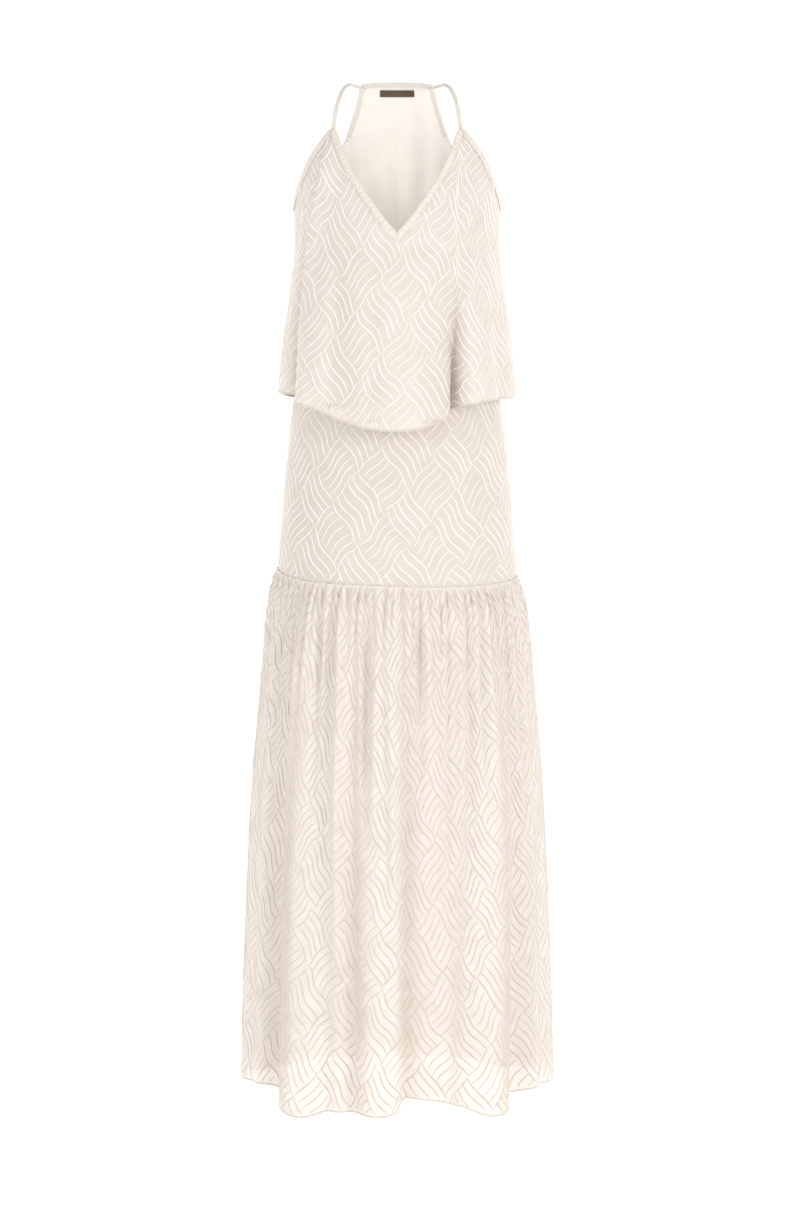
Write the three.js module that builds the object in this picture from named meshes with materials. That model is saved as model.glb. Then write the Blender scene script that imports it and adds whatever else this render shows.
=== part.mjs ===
// A sleeveless maxi dress, worn with nobody in it. A popover bodice with a V neck hangs from two thin straps over a
// plain under-bodice, with a narrow racer back. Below it are a fitted hip yoke, a long gathered skirt and a slip.
// Millimetres, +Z up, the front faces -Y and +X is at the viewer's right. The origin is midway between the two
// shoulder points, at the height where the straps pass over them.
import * as THREE from "three";

// Driving dimensions
const WALL = 1.2; // cloth with its turnings
const TRIM_WALL = 1; // bindings and label
const STRAP_WALL = 1.8; // a turned tube, pressed flat
const LAY_GAP = 0.95; // between a trim and the cloth that it is sewn to
const LINING_LAY_GAP = 1.3; // the same inside a curve, where the flat facets of both come closer
const SEAM_GAP = 0.5; // between two edges that are sewn together
const SIDE_GAP_ANGLE = 0.1; // half the gap at a seam between two panels, in degrees
const MITRE_GAP = 0.3; // from a mitre's line to each binding's end
const LAYER_STEP = 2; // from the popover's outer face to the under-bodice's, where both share an edge
const WAIST_Z = -400;
const BINDING_WIDTH = 9;
const CASING_WIDTH = 9;
const CASING_RISE = 0.5; // how far the casing's gathers stand out
const STRAP_WIDTH = 5.5;
const LABEL_WIDTH = 49;
const LABEL_TOP_Z = -7.5;
const LABEL_DEPTH = 9;
const POPOVER_FREE_Z = -225; // below this height the popover hangs free of the bust
const GATHERS = 36; // in the front of the skirt, and as many in the back
const GATHER_RISE = 2.8; // how far a gather stands out at the hip seam
const GATHER_LENGTH = 150; // down the skirt, until the gathers die out
const SKIRT_FLARE_DROP = 30; // below the seam, until the skirt has its own width
const SLIP_TURN_UP = 10; // the slip's top edge lies this far up inside the yoke
const SLIP_SEAM_INSET = 2.2; // its depth there below the yoke's outer face
const SLIP_INSET = 8; // how far the slip hangs inside the skirt
const SLIP_INSET_DROP = 70; // below the seam, until it hangs that far inside

// Grids: columns of a front or back panel, and rows
const BODICE_COLUMN_ANGLE = 4.5;
const YOKE_COLUMNS = 36;
const YOKE_ROWS = 4;
const SLIP_COLUMNS = 48;
const LABEL_COLUMNS = 4;
const STRAP_STEPS = 16;
const TOP_ROW_DROPS = [0, 14, 44]; // the first rows of both bodice layers, below the top edge
const SHARED_ROWS = 3; // the next rows, which both layers share too
const SHARED_ROWS_END_Z = -300;
const POPOVER_FREE_ROWS = 3;
const LINING_FREE_ROWS = 2;
const SKIRT_ROW_SHARES = [0, 0.02, 0.055, 0.11, 0.2, 0.36, 0.54, 0.72, 0.88, 1];
const SLIP_ROW_SHARES = [0.01, 0.13, 0.4, 0.7, 1];

// Half ellipses in front and behind, one row for each height: half width, depth to the front, depth to the back.
const BODY_SECTIONS = [
  { z: 12, half: 124, front: 38, back: 57 },
  { z: -60, half: 148, front: 78, back: 82 },
  { z: -100, half: 148.5, front: 96, back: 95 },
  { z: -132, half: 145, front: 106, back: 101 },
  { z: -160, half: 141.5, front: 113, back: 105 },
  { z: -200, half: 139.8, front: 120, back: 106 },
  { z: -225, half: 139.6, front: 121.5, back: 105.5 },
  { z: -260, half: 138.5, front: 121, back: 103 },
  { z: -300, half: 135, front: 111, back: 98 },
  { z: -350, half: 133, front: 98, back: 90 },
  { z: -400, half: 136.5, front: 95, back: 89 },
  { z: -435, half: 143.5, front: 98, back: 93 },
  { z: -519, half: 153.5, front: 105, back: 107 },
  { z: -575, half: 158.5, front: 111, back: 117 },
  { z: -631, half: 163.5, front: 115, back: 124 },
  { z: -690, half: 168, front: 118, back: 127 },
];
const POPOVER_SECTIONS = [
  { z: -225, half: 141.4, front: 123.3, back: 107.3 },
  { z: -260, half: 145, front: 130, back: 112 },
  { z: -297, half: 150, front: 134, back: 116 },
  { z: -353, half: 158.5, front: 137, back: 119 },
  { z: -407, half: 164, front: 139, back: 122 },
  { z: -470, half: 169, front: 141, back: 126 },
];
const SKIRT_SECTIONS = [
  { z: -670, half: 168, front: 118, back: 127 },
  { z: -715, half: 176.5, front: 126, back: 136 },
  { z: -771, half: 184, front: 134, back: 145 },
  { z: -856, half: 193, front: 145, back: 155 },
  { z: -969, half: 203.5, front: 157, back: 166 },
  { z: -1083, half: 210.5, front: 166, back: 174 },
  { z: -1198, half: 215.5, front: 173, back: 181 },
  { z: -1312, half: 219.5, front: 178, back: 186 },
  { z: -1430, half: 222.5, front: 182, back: 190 },
];

// The bodice's top edge, seen over its columns from the centre front (0) past the strap point, the side seam and the
// corner of the back neck to the centre back (40). Angles are in degrees round the body from the centre front.
const NECK_POINT_COLUMN = 0;
const STRAP_COLUMN = 12;
const SIDE_COLUMN = 20;
const NAPE_COLUMN = 36;
const CENTRE_BACK_COLUMN = 40;
const TOP_EDGE = [
  { column: 0, angle: 0, z: -208 },
  { column: 3, angle: 8, z: -185 },
  { column: 6, angle: 18.5, z: -148 },
  { column: 8, angle: 24.5, z: -123 },
  { column: 10, angle: 30, z: -92 },
  { column: 12, angle: 36, z: -66 },
  { column: 14, angle: 46, z: -87 },
  { column: 16, angle: 58, z: -117 },
  { column: 18, angle: 73, z: -147 },
  { column: 20, angle: 90, z: -168 },
  { column: 22, angle: 107, z: -166 },
  { column: 24, angle: 122, z: -151 },
  { column: 26, angle: 135, z: -129 },
  { column: 28, angle: 144, z: -104 },
  { column: 30, angle: 149, z: -84 },
  { column: 32, angle: 153, z: -61 },
  { column: 34, angle: 156, z: -33 },
  { column: 36, angle: 157.5, z: -3 },
  { column: 38, angle: 168.5, z: 3 },
  { column: 40, angle: 180, z: 4 },
];
const FAN_DROP = 150; // below the top edge, until the bodice's columns are evenly spaced round the body

// Edges: the height at each angle, positive towards +X, with the centre back at 180.
const POPOVER_HEM = [
  { angle: -180, z: -448 },
  { angle: -130, z: -440 },
  { angle: -90, z: -425 },
  { angle: -65, z: -427 },
  { angle: -57, z: -435 },
  { angle: -43, z: -444 },
  { angle: -26, z: -461.5 },
  { angle: -12, z: -472 },
  { angle: 0, z: -474 },
  { angle: 11, z: -470 },
  { angle: 20, z: -461.5 },
  { angle: 28, z: -455 },
  { angle: 34, z: -441 },
  { angle: 48, z: -434 },
  { angle: 72, z: -432 },
  { angle: 90, z: -426 },
  { angle: 130, z: -440 },
  { angle: 180, z: -448 },
];
const HIP_SEAM = [
  { angle: -180, z: -688 },
  { angle: -90, z: -669 },
  { angle: -66, z: -677 },
  { angle: -44, z: -682 },
  { angle: -10, z: -685 },
  { angle: 24, z: -687.5 },
  { angle: 50, z: -686.5 },
  { angle: 90, z: -681 },
  { angle: 180, z: -688 },
];
const SKIRT_HEM = [
  { angle: -180, z: -1410 },
  { angle: -130, z: -1402 },
  { angle: -80, z: -1389 },
  { angle: -60, z: -1386 },
  { angle: -52, z: -1398 },
  { angle: -45, z: -1412 },
  { angle: -36, z: -1416 },
  { angle: -25, z: -1405 },
  { angle: -7, z: -1407 },
  { angle: -1, z: -1404 },
  { angle: 3, z: -1385 },
  { angle: 14, z: -1388 },
  { angle: 25, z: -1400 },
  { angle: 36, z: -1414 },
  { angle: 43, z: -1412 },
  { angle: 48, z: -1394 },
  { angle: 62, z: -1390 },
  { angle: 90, z: -1395 },
  { angle: 130, z: -1404 },
  { angle: 180, z: -1410 },
];
const SLIP_HEM = [
  { angle: -180, z: -1334 },
  { angle: -120, z: -1350 },
  { angle: -90, z: -1378 },
  { angle: -47, z: -1352 },
  { angle: -31, z: -1322 },
  { angle: -18, z: -1296 },
  { angle: -12, z: -1308 },
  { angle: -6, z: -1301 },
  { angle: -3, z: -1316 },
  { angle: 7, z: -1317 },
  { angle: 11, z: -1298 },
  { angle: 23, z: -1304 },
  { angle: 28, z: -1330 },
  { angle: 42, z: -1350 },
  { angle: 65, z: -1362 },
  { angle: 90, z: -1378 },
  { angle: 125, z: -1350 },
  { angle: 180, z: -1334 },
];

// Folds: the angle at the fold's top and at the hem, the width of its two sides in degrees, and its depth at the hem.
// A positive depth is a valley and a negative one a ridge.
const POPOVER_FOLDS = [
  { top: 27, hem: 32, left: 9, right: 3.5, depth: 18 },
  { top: 35, hem: 41, left: 4, right: 9, depth: -7 },
  { top: -58, hem: -62, left: 6, right: 6, depth: 13 },
  { top: -46, hem: -49, left: 5, right: 9, depth: -6 },
  { top: -25, hem: -24, left: 7, right: 8, depth: 5 },
  { top: 2, hem: 4, left: 9, right: 9, depth: -4 },
  { top: 60, hem: 62, left: 6, right: 7, depth: 6 },
  { top: 110, hem: 116, left: 7, right: 6, depth: 11 },
  { top: 134, hem: 138, left: 8, right: 8, depth: -6 },
  { top: 156, hem: 158, left: 6, right: 8, depth: 10 },
  { top: 182, hem: 181, left: 9, right: 9, depth: -5 },
  { top: -112, hem: -117, left: 6, right: 7, depth: 11 },
  { top: -136, hem: -140, left: 8, right: 7, depth: -6 },
  { top: -157, hem: -160, left: 8, right: 6, depth: 9 },
];
const SKIRT_FOLDS = [
  { top: -72, hem: -70, left: 5, right: 5, depth: 7 },
  { top: -54, hem: -55, left: 6, right: 5, depth: 25 },
  { top: -42, hem: -40, left: 6, right: 7, depth: -7 },
  { top: -31, hem: -27, left: 5, right: 4, depth: 7 },
  { top: -20, hem: -17, left: 5, right: 5, depth: 10 },
  { top: -8, hem: -6, left: 5, right: 4, depth: -7 },
  { top: 4, hem: 3.5, left: 3, right: 6, depth: 15 },
  { top: 17, hem: 14, left: 5, right: 4, depth: 6 },
  { top: 34, hem: 25, left: 5, right: 5, depth: 12 },
  { top: 46, hem: 38, left: 6, right: 5, depth: -7 },
  { top: 58, hem: 50, left: 4, right: 6, depth: 20 },
  { top: 75, hem: 70, left: 5, right: 5, depth: 8 },
  { top: 104, hem: 110, left: 5, right: 5, depth: 14 },
  { top: 118, hem: 124, left: 6, right: 6, depth: -6 },
  { top: 131, hem: 137, left: 5, right: 5, depth: 19 },
  { top: 150, hem: 153, left: 5, right: 5, depth: 10 },
  { top: 163, hem: 165, left: 5, right: 5, depth: -6 },
  { top: 175, hem: 177, left: 5, right: 5, depth: 17 },
  { top: -162, hem: -164, left: 5, right: 5, depth: 9 },
  { top: -147, hem: -150, left: 5, right: 5, depth: -6 },
  { top: -133, hem: -138, left: 5, right: 5, depth: 19 },
  { top: -119, hem: -124, left: 5, right: 5, depth: -5 },
  { top: -104, hem: -110, left: 5, right: 5, depth: 15 },
];

// The strap at +X, from just above the front point, over the shoulder, to the corner of the back neck
const STRAP_PATH = [
  { x: 86.8, y: -65.4, z: -63 },
  { x: 84, y: -56, z: -43 },
  { x: 79, y: -39, z: -21 },
  { x: 72.5, y: -19, z: -6.5 },
  { x: 65, y: 1, z: -0.9 },
  { x: 58, y: 26, z: -1.2 },
  { x: 50.8, y: 51.4, z: -1.5 },
];

const radians = (degrees) => (degrees * Math.PI) / 180;
const mix = (a, b, share) => a + (b - a) * share;
const clamp01 = (share) => Math.min(1, Math.max(0, share));
const wrap = (angle) => ((((angle + 180) % 360) + 360) % 360) - 180;

// A column of a table, read at any place of its key column along a smooth curve that keeps to the rows' own range.
function read(table, key, column, at) {
  const rows = table[0][key] < table[1][key] ? table : [...table].reverse();
  const slope = (i) => (rows[i + 1][column] - rows[i][column]) / (rows[i + 1][key] - rows[i][key]);
  const tangent = (i) => {
    if (i === 0) return slope(0);
    if (i === rows.length - 1) return slope(i - 1);
    const [before, after] = [slope(i - 1), slope(i)];
    return before * after > 0 ? (2 * before * after) / (before + after) : 0;
  };
  let i = 0;
  while (i < rows.length - 2 && at > rows[i + 1][key]) i += 1;
  const span = rows[i + 1][key] - rows[i][key];
  const s = clamp01((at - rows[i][key]) / span);
  const ends = rows[i][column] * (1 + 2 * s) * (1 - s) ** 2 + rows[i + 1][column] * s * s * (3 - 2 * s);
  return ends + span * (tangent(i) * s * (1 - s) ** 2 + tangent(i + 1) * s * s * (s - 1));
}

const popoverHem = (angle) => read(POPOVER_HEM, "angle", "z", wrap(angle));
const hipSeam = (angle) => read(HIP_SEAM, "angle", "z", wrap(angle));
const skirtHem = (angle) => read(SKIRT_HEM, "angle", "z", wrap(angle));
const slipHem = (angle) => read(SLIP_HEM, "angle", "z", wrap(angle));

// A point of a section, moved in towards the body's axis.
function onSection(sections, angle, z, inset) {
  const side = Math.cos(radians(angle)) >= 0 ? "front" : "back";
  const half = read(sections, "z", "half", z) - inset;
  const depth = read(sections, "z", side, z) - inset;
  return new THREE.Vector3(half * Math.sin(radians(angle)), -depth * Math.cos(radians(angle)), z);
}

// How far the folds of a table push the cloth in, at an angle and a share of the way from their top to the hem.
function foldInset(folds, angle, share) {
  return folds.reduce((sum, fold) => {
    const off = wrap(angle - mix(fold.top, fold.hem, share));
    const width = off < 0 ? fold.left : fold.right;
    return sum + fold.depth * Math.exp(-((off / width) ** 2));
  }, 0);
}

// A point of a surface moved out along its normal.
function raised(surface, angle, z, lift) {
  const round = surface(angle + 0.5, z).sub(surface(angle - 0.5, z));
  const down = surface(angle, z - 1).sub(surface(angle, z + 1));
  return surface(angle, z).addScaledVector(down.cross(round).normalize(), lift);
}

const bodyPoint = (angle, z) => onSection(BODY_SECTIONS, angle, z, 0);

// The popover lies on the under-bodice down to the bust and hangs free below it.
function popoverPoint(angle, z) {
  if (z > POPOVER_FREE_Z) return raised(bodyPoint, angle, z, LAYER_STEP);
  const share = clamp01((POPOVER_FREE_Z - z) / (POPOVER_FREE_Z - popoverHem(angle)));
  return onSection(POPOVER_SECTIONS, angle, z, share * foldInset(POPOVER_FOLDS, angle, share));
}

// The skirt leaves the hip seam at the yoke's width and flares to its own; its folds grow from the seam down.
function skirtPoint(angle, z, inset) {
  const seam = hipSeam(angle);
  const share = clamp01((seam - z) / (seam - skirtHem(angle)));
  const fold = share ** 0.6 * foldInset(SKIRT_FOLDS, angle, share);
  const atSeam = onSection(BODY_SECTIONS, angle, seam, inset).setZ(z);
  return atSeam.lerp(onSection(SKIRT_SECTIONS, angle, z, fold + inset), clamp01((seam - z) / SKIRT_FLARE_DROP));
}

function slipPoint(angle, z) {
  const seam = hipSeam(angle);
  const inset = mix(SLIP_SEAM_INSET, SLIP_INSET, clamp01((seam - z) / SLIP_INSET_DROP));
  return z > seam ? onSection(BODY_SECTIONS, angle, z, inset) : skirtPoint(angle, z, inset);
}

// Turns outer and inner grids of points, columns by rows, into one closed wall.
function closedWall(columns, rows, outer, inner) {
  const at = (i, j) => i * (rows + 1) + j;
  const back = outer.length;
  const faces = [];
  const quad = (a, b, c, d) => faces.push(a, b, c, a, c, d);
  for (let i = 0; i < columns; i += 1) {
    for (let j = 0; j < rows; j += 1) {
      quad(at(i, j), at(i, j + 1), at(i + 1, j + 1), at(i + 1, j));
      quad(back + at(i, j), back + at(i + 1, j), back + at(i + 1, j + 1), back + at(i, j + 1));
    }
    quad(at(i, 0), at(i + 1, 0), back + at(i + 1, 0), back + at(i, 0));
    quad(at(i + 1, rows), at(i, rows), back + at(i, rows), back + at(i + 1, rows));
  }
  for (let j = 0; j < rows; j += 1) {
    quad(at(0, j + 1), at(0, j), back + at(0, j), back + at(0, j + 1));
    quad(at(columns, j), at(columns, j + 1), back + at(columns, j + 1), back + at(columns, j));
  }
  const geometry = new THREE.BufferGeometry();
  geometry.setFromPoints([...outer, ...inner]);
  geometry.setIndex(faces);
  return geometry;
}

// A wall of cloth. pointAt(column, row) gives its outer face, with columns towards a greater angle and rows going
// down; the inner face is the outer one moved in along the normals. pointAt is also asked for a column past each
// end, so that two panels that meet there share their normals.
function clothWall(columns, rows, thickness, pointAt) {
  const outer = [];
  const inner = [];
  for (let i = 0; i <= columns; i += 1) {
    for (let j = 0; j <= rows; j += 1) {
      const along = pointAt(i + 1, j).sub(pointAt(i - 1, j));
      const down = pointAt(i, Math.min(j + 1, rows)).sub(pointAt(i, Math.max(j - 1, 0)));
      const point = pointAt(i, j);
      outer.push(point);
      inner.push(point.clone().addScaledVector(down.cross(along).normalize(), -thickness));
    }
  }
  return closedWall(columns, rows, outer, inner);
}

// The angle of a panel's column, held back from the seams at both sides by half a gap.
const panelAngle = (from, to, columns, i) => mix(from + SIDE_GAP_ANGLE, to - SIDE_GAP_ANGLE, i / columns);

// The bodice's top edge at a column: columns run on round the back to the far side, or to negative numbers.
function topEdge(column) {
  const turned = wrap(column * BODICE_COLUMN_ANGLE) / BODICE_COLUMN_ANGLE;
  const angle = read(TOP_EDGE, "column", "angle", Math.abs(turned)) * Math.sign(turned);
  const z = read(TOP_EDGE, "column", "z", Math.abs(turned));
  return { angle: angle + 360 * Math.round((column * BODICE_COLUMN_ANGLE - angle) / 360), z };
}

// A place on a bodice layer: its rows lie at set drops below the top edge, then at even steps down to the end of the
// rows that both layers share, then at even steps to the layer's own bottom edge. Columns fan out to even spacing.
function bodicePlace(column, row, freeRows, bottomAt) {
  const edge = topEdge(column);
  const dropRows = TOP_ROW_DROPS.length - 1;
  const lastDropZ = edge.z - TOP_ROW_DROPS[dropRows];
  const even = column * BODICE_COLUMN_ANGLE;
  const shared = mix(lastDropZ, SHARED_ROWS_END_Z, clamp01((row - dropRows) / SHARED_ROWS));
  const free = Math.max(0, row - dropRows - SHARED_ROWS) / freeRows;
  const z = row <= dropRows ? edge.z - TOP_ROW_DROPS[row] : mix(shared, bottomAt(even), free);
  const fan = clamp01((edge.z - z) / FAN_DROP);
  return { angle: mix(edge.angle, even, fan * fan * (3 - 2 * fan)), z };
}

function bodicePanel(surface, from, to, freeRows, bottomAt) {
  const rows = TOP_ROW_DROPS.length - 1 + SHARED_ROWS + freeRows;
  return clothWall(to - from, rows, WALL, (i, j) => {
    const angle = panelAngle(from * BODICE_COLUMN_ANGLE, to * BODICE_COLUMN_ANGLE, to - from, i);
    const place = bodicePlace(angle / BODICE_COLUMN_ANGLE, j, freeRows, bottomAt);
    return surface(place.angle, place.z);
  });
}

const popoverPanel = (from, to) => bodicePanel(popoverPoint, from, to, POPOVER_FREE_ROWS, popoverHem);
const underBodicePanel = (from, to) =>
  bodicePanel(bodyPoint, from, to, LINING_FREE_ROWS, () => WAIST_Z + SEAM_GAP / 2);

function yokePanel(start) {
  return clothWall(YOKE_COLUMNS, YOKE_ROWS, WALL, (i, j) => {
    const angle = panelAngle(start, start + 180, YOKE_COLUMNS, i);
    return bodyPoint(angle, mix(WAIST_Z - SEAM_GAP / 2, hipSeam(angle) + SEAM_GAP / 2, j / YOKE_ROWS));
  });
}

// Every other column of the skirt is a gather's crest; crests differ in height and die out down the skirt.
function skirtPanel(start) {
  const columns = GATHERS * 2;
  return clothWall(columns, SKIRT_ROW_SHARES.length - 1, WALL, (i, j) => {
    const angle = panelAngle(start, start + 180, columns, i);
    const top = hipSeam(angle) - SEAM_GAP / 2;
    const z = mix(top, skirtHem(angle), SKIRT_ROW_SHARES[j]);
    const crest = i % 2 === 0 ? 0 : GATHER_RISE * (0.75 + 0.25 * Math.sin(i * 1.7));
    return skirtPoint(angle, z, -crest * clamp01(1 - (top - z) / GATHER_LENGTH) ** 1.5);
  });
}

function slipPanel(start) {
  return clothWall(SLIP_COLUMNS, SLIP_ROW_SHARES.length, WALL, (i, j) => {
    const angle = panelAngle(start, start + 180, SLIP_COLUMNS, i);
    const seam = hipSeam(angle);
    return slipPoint(angle, j === 0 ? seam + SLIP_TURN_UP : mix(seam, slipHem(angle), SLIP_ROW_SHARES[j - 1]));
  });
}

// The place reached from the bodice's top edge at a column, by going into the cloth for a distance and along the edge
// for another. At a corner the way in is the mitre's, longer than the distance.
function inFromEdge(column, distance, slide) {
  const pointAt = (c) => popoverPoint(topEdge(c).angle, topEdge(c).z);
  const before = pointAt(column).sub(pointAt(column - 1)).normalize();
  const after = pointAt(column + 1).sub(pointAt(column)).normalize();
  const { angle, z } = topEdge(column);
  const round = popoverPoint(angle + 0.5, z).sub(popoverPoint(angle - 0.5, z));
  const down = popoverPoint(angle, z - 0.5).sub(popoverPoint(angle, z + 0.5));
  const normal = down.clone().cross(round).normalize();
  const along = before.clone().add(after);
  const way = along.clone().cross(normal).setLength((2 * distance) / along.length());
  way.addScaledVector(slide > 0 ? after : before, slide);
  const [rr, rd, dd] = [round.dot(round), round.dot(down), down.dot(down)];
  const scale = rr * dd - rd * rd;
  const turn = (way.dot(round) * dd - way.dot(down) * rd) / scale;
  const drop = (way.dot(down) * rr - way.dot(round) * rd) / scale;
  return { angle: angle + turn, z: z - drop };
}

// A binding folded over both layers of the bodice, along the top edge from one column to another, mitred at both
// ends. Its section is a U: distance in from the edge, and height over the popover's face.
function foldedBinding(side, from, to, width, rise) {
  const lining = -(LAYER_STEP + WALL + LINING_LAY_GAP);
  const near = LAY_GAP;
  const far = LAY_GAP + TRIM_WALL;
  const section = [
    { inward: width, lift: near },
    { inward: -near, lift: near },
    { inward: -near, lift: lining },
    { inward: width, lift: lining },
    { inward: width, lift: lining - TRIM_WALL },
    { inward: -far, lift: lining - TRIM_WALL },
    { inward: -far, lift: far },
    { inward: width, lift: far },
  ];
  const count = section.length;
  const points = [];
  const faces = [];
  const triangle = (a, b, c) => faces.push(...(side > 0 ? [a, c, b] : [a, b, c]));
  const quad = (a, b, c, d) => {
    triangle(a, b, c);
    triangle(a, c, d);
  };
  for (let column = from; column <= to; column += 1) {
    const slide = MITRE_GAP * ((column === from) - (column === to));
    const crest = (column - from) % 2 === 1 ? rise : 0;
    section.forEach(({ inward, lift }, k) => {
      const place = inFromEdge(column, inward, slide);
      const gathered = k > 3 ? lift + crest * Math.sign(lift) : lift;
      points.push(raised(popoverPoint, side * place.angle, place.z, gathered));
      const here = (column - from) * count;
      const next = (k + 1) % count;
      if (column < to) quad(here + k, here + count + k, here + count + next, here + next);
    });
  }
  const end = (to - from) * count;
  [[0, 1, 6, 7], [1, 2, 5, 6], [2, 3, 4, 5]].forEach(([a, b, c, d]) => {
    quad(a, b, c, d);
    quad(end + d, end + c, end + b, end + a);
  });
  const geometry = new THREE.BufferGeometry();
  geometry.setFromPoints(points);
  geometry.setIndex(faces);
  return geometry;
}

const neckBinding = (side) => foldedBinding(side, NECK_POINT_COLUMN, STRAP_COLUMN, BINDING_WIDTH, 0);
const armholeBinding = (side) => foldedBinding(side, STRAP_COLUMN, NAPE_COLUMN, BINDING_WIDTH, 0);

// The casing of the back neck, finely gathered.
const napeCasing = () =>
  foldedBinding(1, NAPE_COLUMN, 2 * CENTRE_BACK_COLUMN - NAPE_COLUMN, CASING_WIDTH, CASING_RISE);

// A strap: a flat band that lies across its path, level from side to side.
function strap(side) {
  const path = new THREE.CatmullRomCurve3(STRAP_PATH.map((stop) => new THREE.Vector3(side * stop.x, stop.y, stop.z)));
  return clothWall(STRAP_STEPS, 1, STRAP_WALL, (i, j) => {
    const share = clamp01(i / STRAP_STEPS);
    const along = path.getTangentAt(share);
    const across = new THREE.Vector3(1, 0, 0).addScaledVector(along, -along.x).normalize();
    return path.getPointAt(share).addScaledVector(across, (j - 0.5) * STRAP_WIDTH);
  });
}

// The woven label, sewn to the inside of the under-bodice below the casing.
function label() {
  const half = (LABEL_WIDTH / 2 / read(BODY_SECTIONS, "z", "half", LABEL_TOP_Z)) * (180 / Math.PI);
  return clothWall(LABEL_COLUMNS, 1, TRIM_WALL, (i, j) => {
    const angle = mix(180 - half, 180 + half, i / LABEL_COLUMNS);
    return raised(bodyPoint, angle, LABEL_TOP_Z - j * LABEL_DEPTH, -WALL - LAY_GAP);
  });
}

const cloth = (color) => new THREE.MeshStandardMaterial({ color, roughness: 0.85, metalness: 0, side: THREE.DoubleSide });
const organza = cloth("#f0e6dc");
const lining = cloth("#f5ece3");
const trim = cloth("#f3e9df");
const woven = cloth("#4b3e30");

const pieces = [
  ["popover_front", popoverPanel(-SIDE_COLUMN, SIDE_COLUMN), organza],
  ["popover_back", popoverPanel(SIDE_COLUMN, 3 * SIDE_COLUMN), organza],
  ["lining_front", underBodicePanel(-SIDE_COLUMN, SIDE_COLUMN), lining],
  ["lining_back_right", underBodicePanel(SIDE_COLUMN, CENTRE_BACK_COLUMN), lining],
  ["lining_back_left", underBodicePanel(CENTRE_BACK_COLUMN, 3 * SIDE_COLUMN), lining],
  ["yoke_front", yokePanel(-90), organza],
  ["yoke_back", yokePanel(90), organza],
  ["skirt_front", skirtPanel(-90), organza],
  ["skirt_back", skirtPanel(90), organza],
  ["slip_front", slipPanel(-90), lining],
  ["slip_back", slipPanel(90), lining],
  ["neck_binding_left", neckBinding(-1), trim],
  ["neck_binding_right", neckBinding(1), trim],
  ["armhole_binding_left", armholeBinding(-1), trim],
  ["armhole_binding_right", armholeBinding(1), trim],
  ["nape_casing", napeCasing(), trim],
  ["strap_left", strap(-1), trim],
  ["strap_right", strap(1), trim],
  ["label", label(), woven],
];

const dress = new THREE.Group();
pieces.forEach(([name, geometry, material]) => {
  const mesh = new THREE.Mesh(geometry, material);
  mesh.name = name;
  dress.add(mesh);
});

export default dress;
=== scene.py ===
# %% [markdown]
# # A long organza dress
# The real dress is sewn from three fabrics: a sheer organza with raised wavy lines, a plain lining, and
# narrow bias strips that bind its edges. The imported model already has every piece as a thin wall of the
# right size. This lesson lays finer cloth over that model, works out its surfaces with numpy, and gives
# each fabric a procedural finish. Sizes are in millimetres where they are tailoring sizes, and become
# metres in the mesh.

import math

import bpy
import numpy as np
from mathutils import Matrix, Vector


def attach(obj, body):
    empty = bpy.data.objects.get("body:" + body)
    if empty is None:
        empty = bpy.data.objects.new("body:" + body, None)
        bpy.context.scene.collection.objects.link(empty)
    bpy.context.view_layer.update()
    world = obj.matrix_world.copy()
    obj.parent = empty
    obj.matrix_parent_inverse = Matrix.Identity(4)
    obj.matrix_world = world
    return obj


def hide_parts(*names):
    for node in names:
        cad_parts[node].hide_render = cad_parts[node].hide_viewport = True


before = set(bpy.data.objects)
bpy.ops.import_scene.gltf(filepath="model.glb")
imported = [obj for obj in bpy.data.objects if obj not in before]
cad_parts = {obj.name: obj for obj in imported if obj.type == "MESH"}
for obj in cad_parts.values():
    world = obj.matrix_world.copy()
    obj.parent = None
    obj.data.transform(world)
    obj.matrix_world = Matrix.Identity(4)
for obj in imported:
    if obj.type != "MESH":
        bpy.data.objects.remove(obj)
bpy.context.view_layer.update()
MM = 0.001
print("nodes in the frame:", sorted(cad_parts))

# %% [markdown]
# ## Reading a table along a smooth curve
# A pattern cutter measures a body at a few heights and joins the measures by eye. Straight lines between
# them would show as bands, and a loose spline would bulge. So each table is read along a monotone curve:
# it passes through every row, and never leaves the range of the two rows beside it.


# %% Smooth tables
def read(table, key, column, at):
    """The column's value where the key column is `at`: Hermite pieces, with harmonic means as their
    slopes."""
    x, y = np.array(table[key], float), np.array(table[column], float)
    if x[0] > x[-1]:
        x, y = x[::-1], y[::-1]
    slope = np.diff(y) / np.diff(x)
    before, after = slope[:-1], slope[1:]
    same_way = before * after > 0
    inner = np.where(same_way, 2 * before * after / np.where(same_way, before + after, 1), 0)
    tangent = np.concatenate([slope[:1], inner, slope[-1:]])
    i = np.clip(np.searchsorted(x, at, side="right") - 1, 0, len(x) - 2)
    span = x[i + 1] - x[i]
    s = np.clip((at - x[i]) / span, 0, 1)
    ends = y[i] * (1 + 2 * s) * (1 - s) ** 2 + y[i + 1] * s * s * (3 - 2 * s)
    return ends + span * (tangent[i] * s * (1 - s) ** 2 + tangent[i + 1] * s * s * (s - 1))


def wrap(angle):
    """The same direction, from -180 to 180 degrees."""
    return (np.asarray(angle, float) + 180) % 360 - 180


def mix(a, b, share):
    return a + (b - a) * share


def smooth(share):
    """Runs from 0 to 1 with level ends."""
    s = np.clip(share, 0, 1)
    return s * s * (3 - 2 * s)


# %% [markdown]
# ## The dress's own sizes
# Each section of the dress is half an ellipse in front and another behind. A table gives its half width
# and its two depths at each height, and tables by angle give the edges. Angles run round the body in
# degrees from the centre front, to the viewer's right. These are the frame's own sizes, so the finer cloth
# lands on the same forms.

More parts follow.
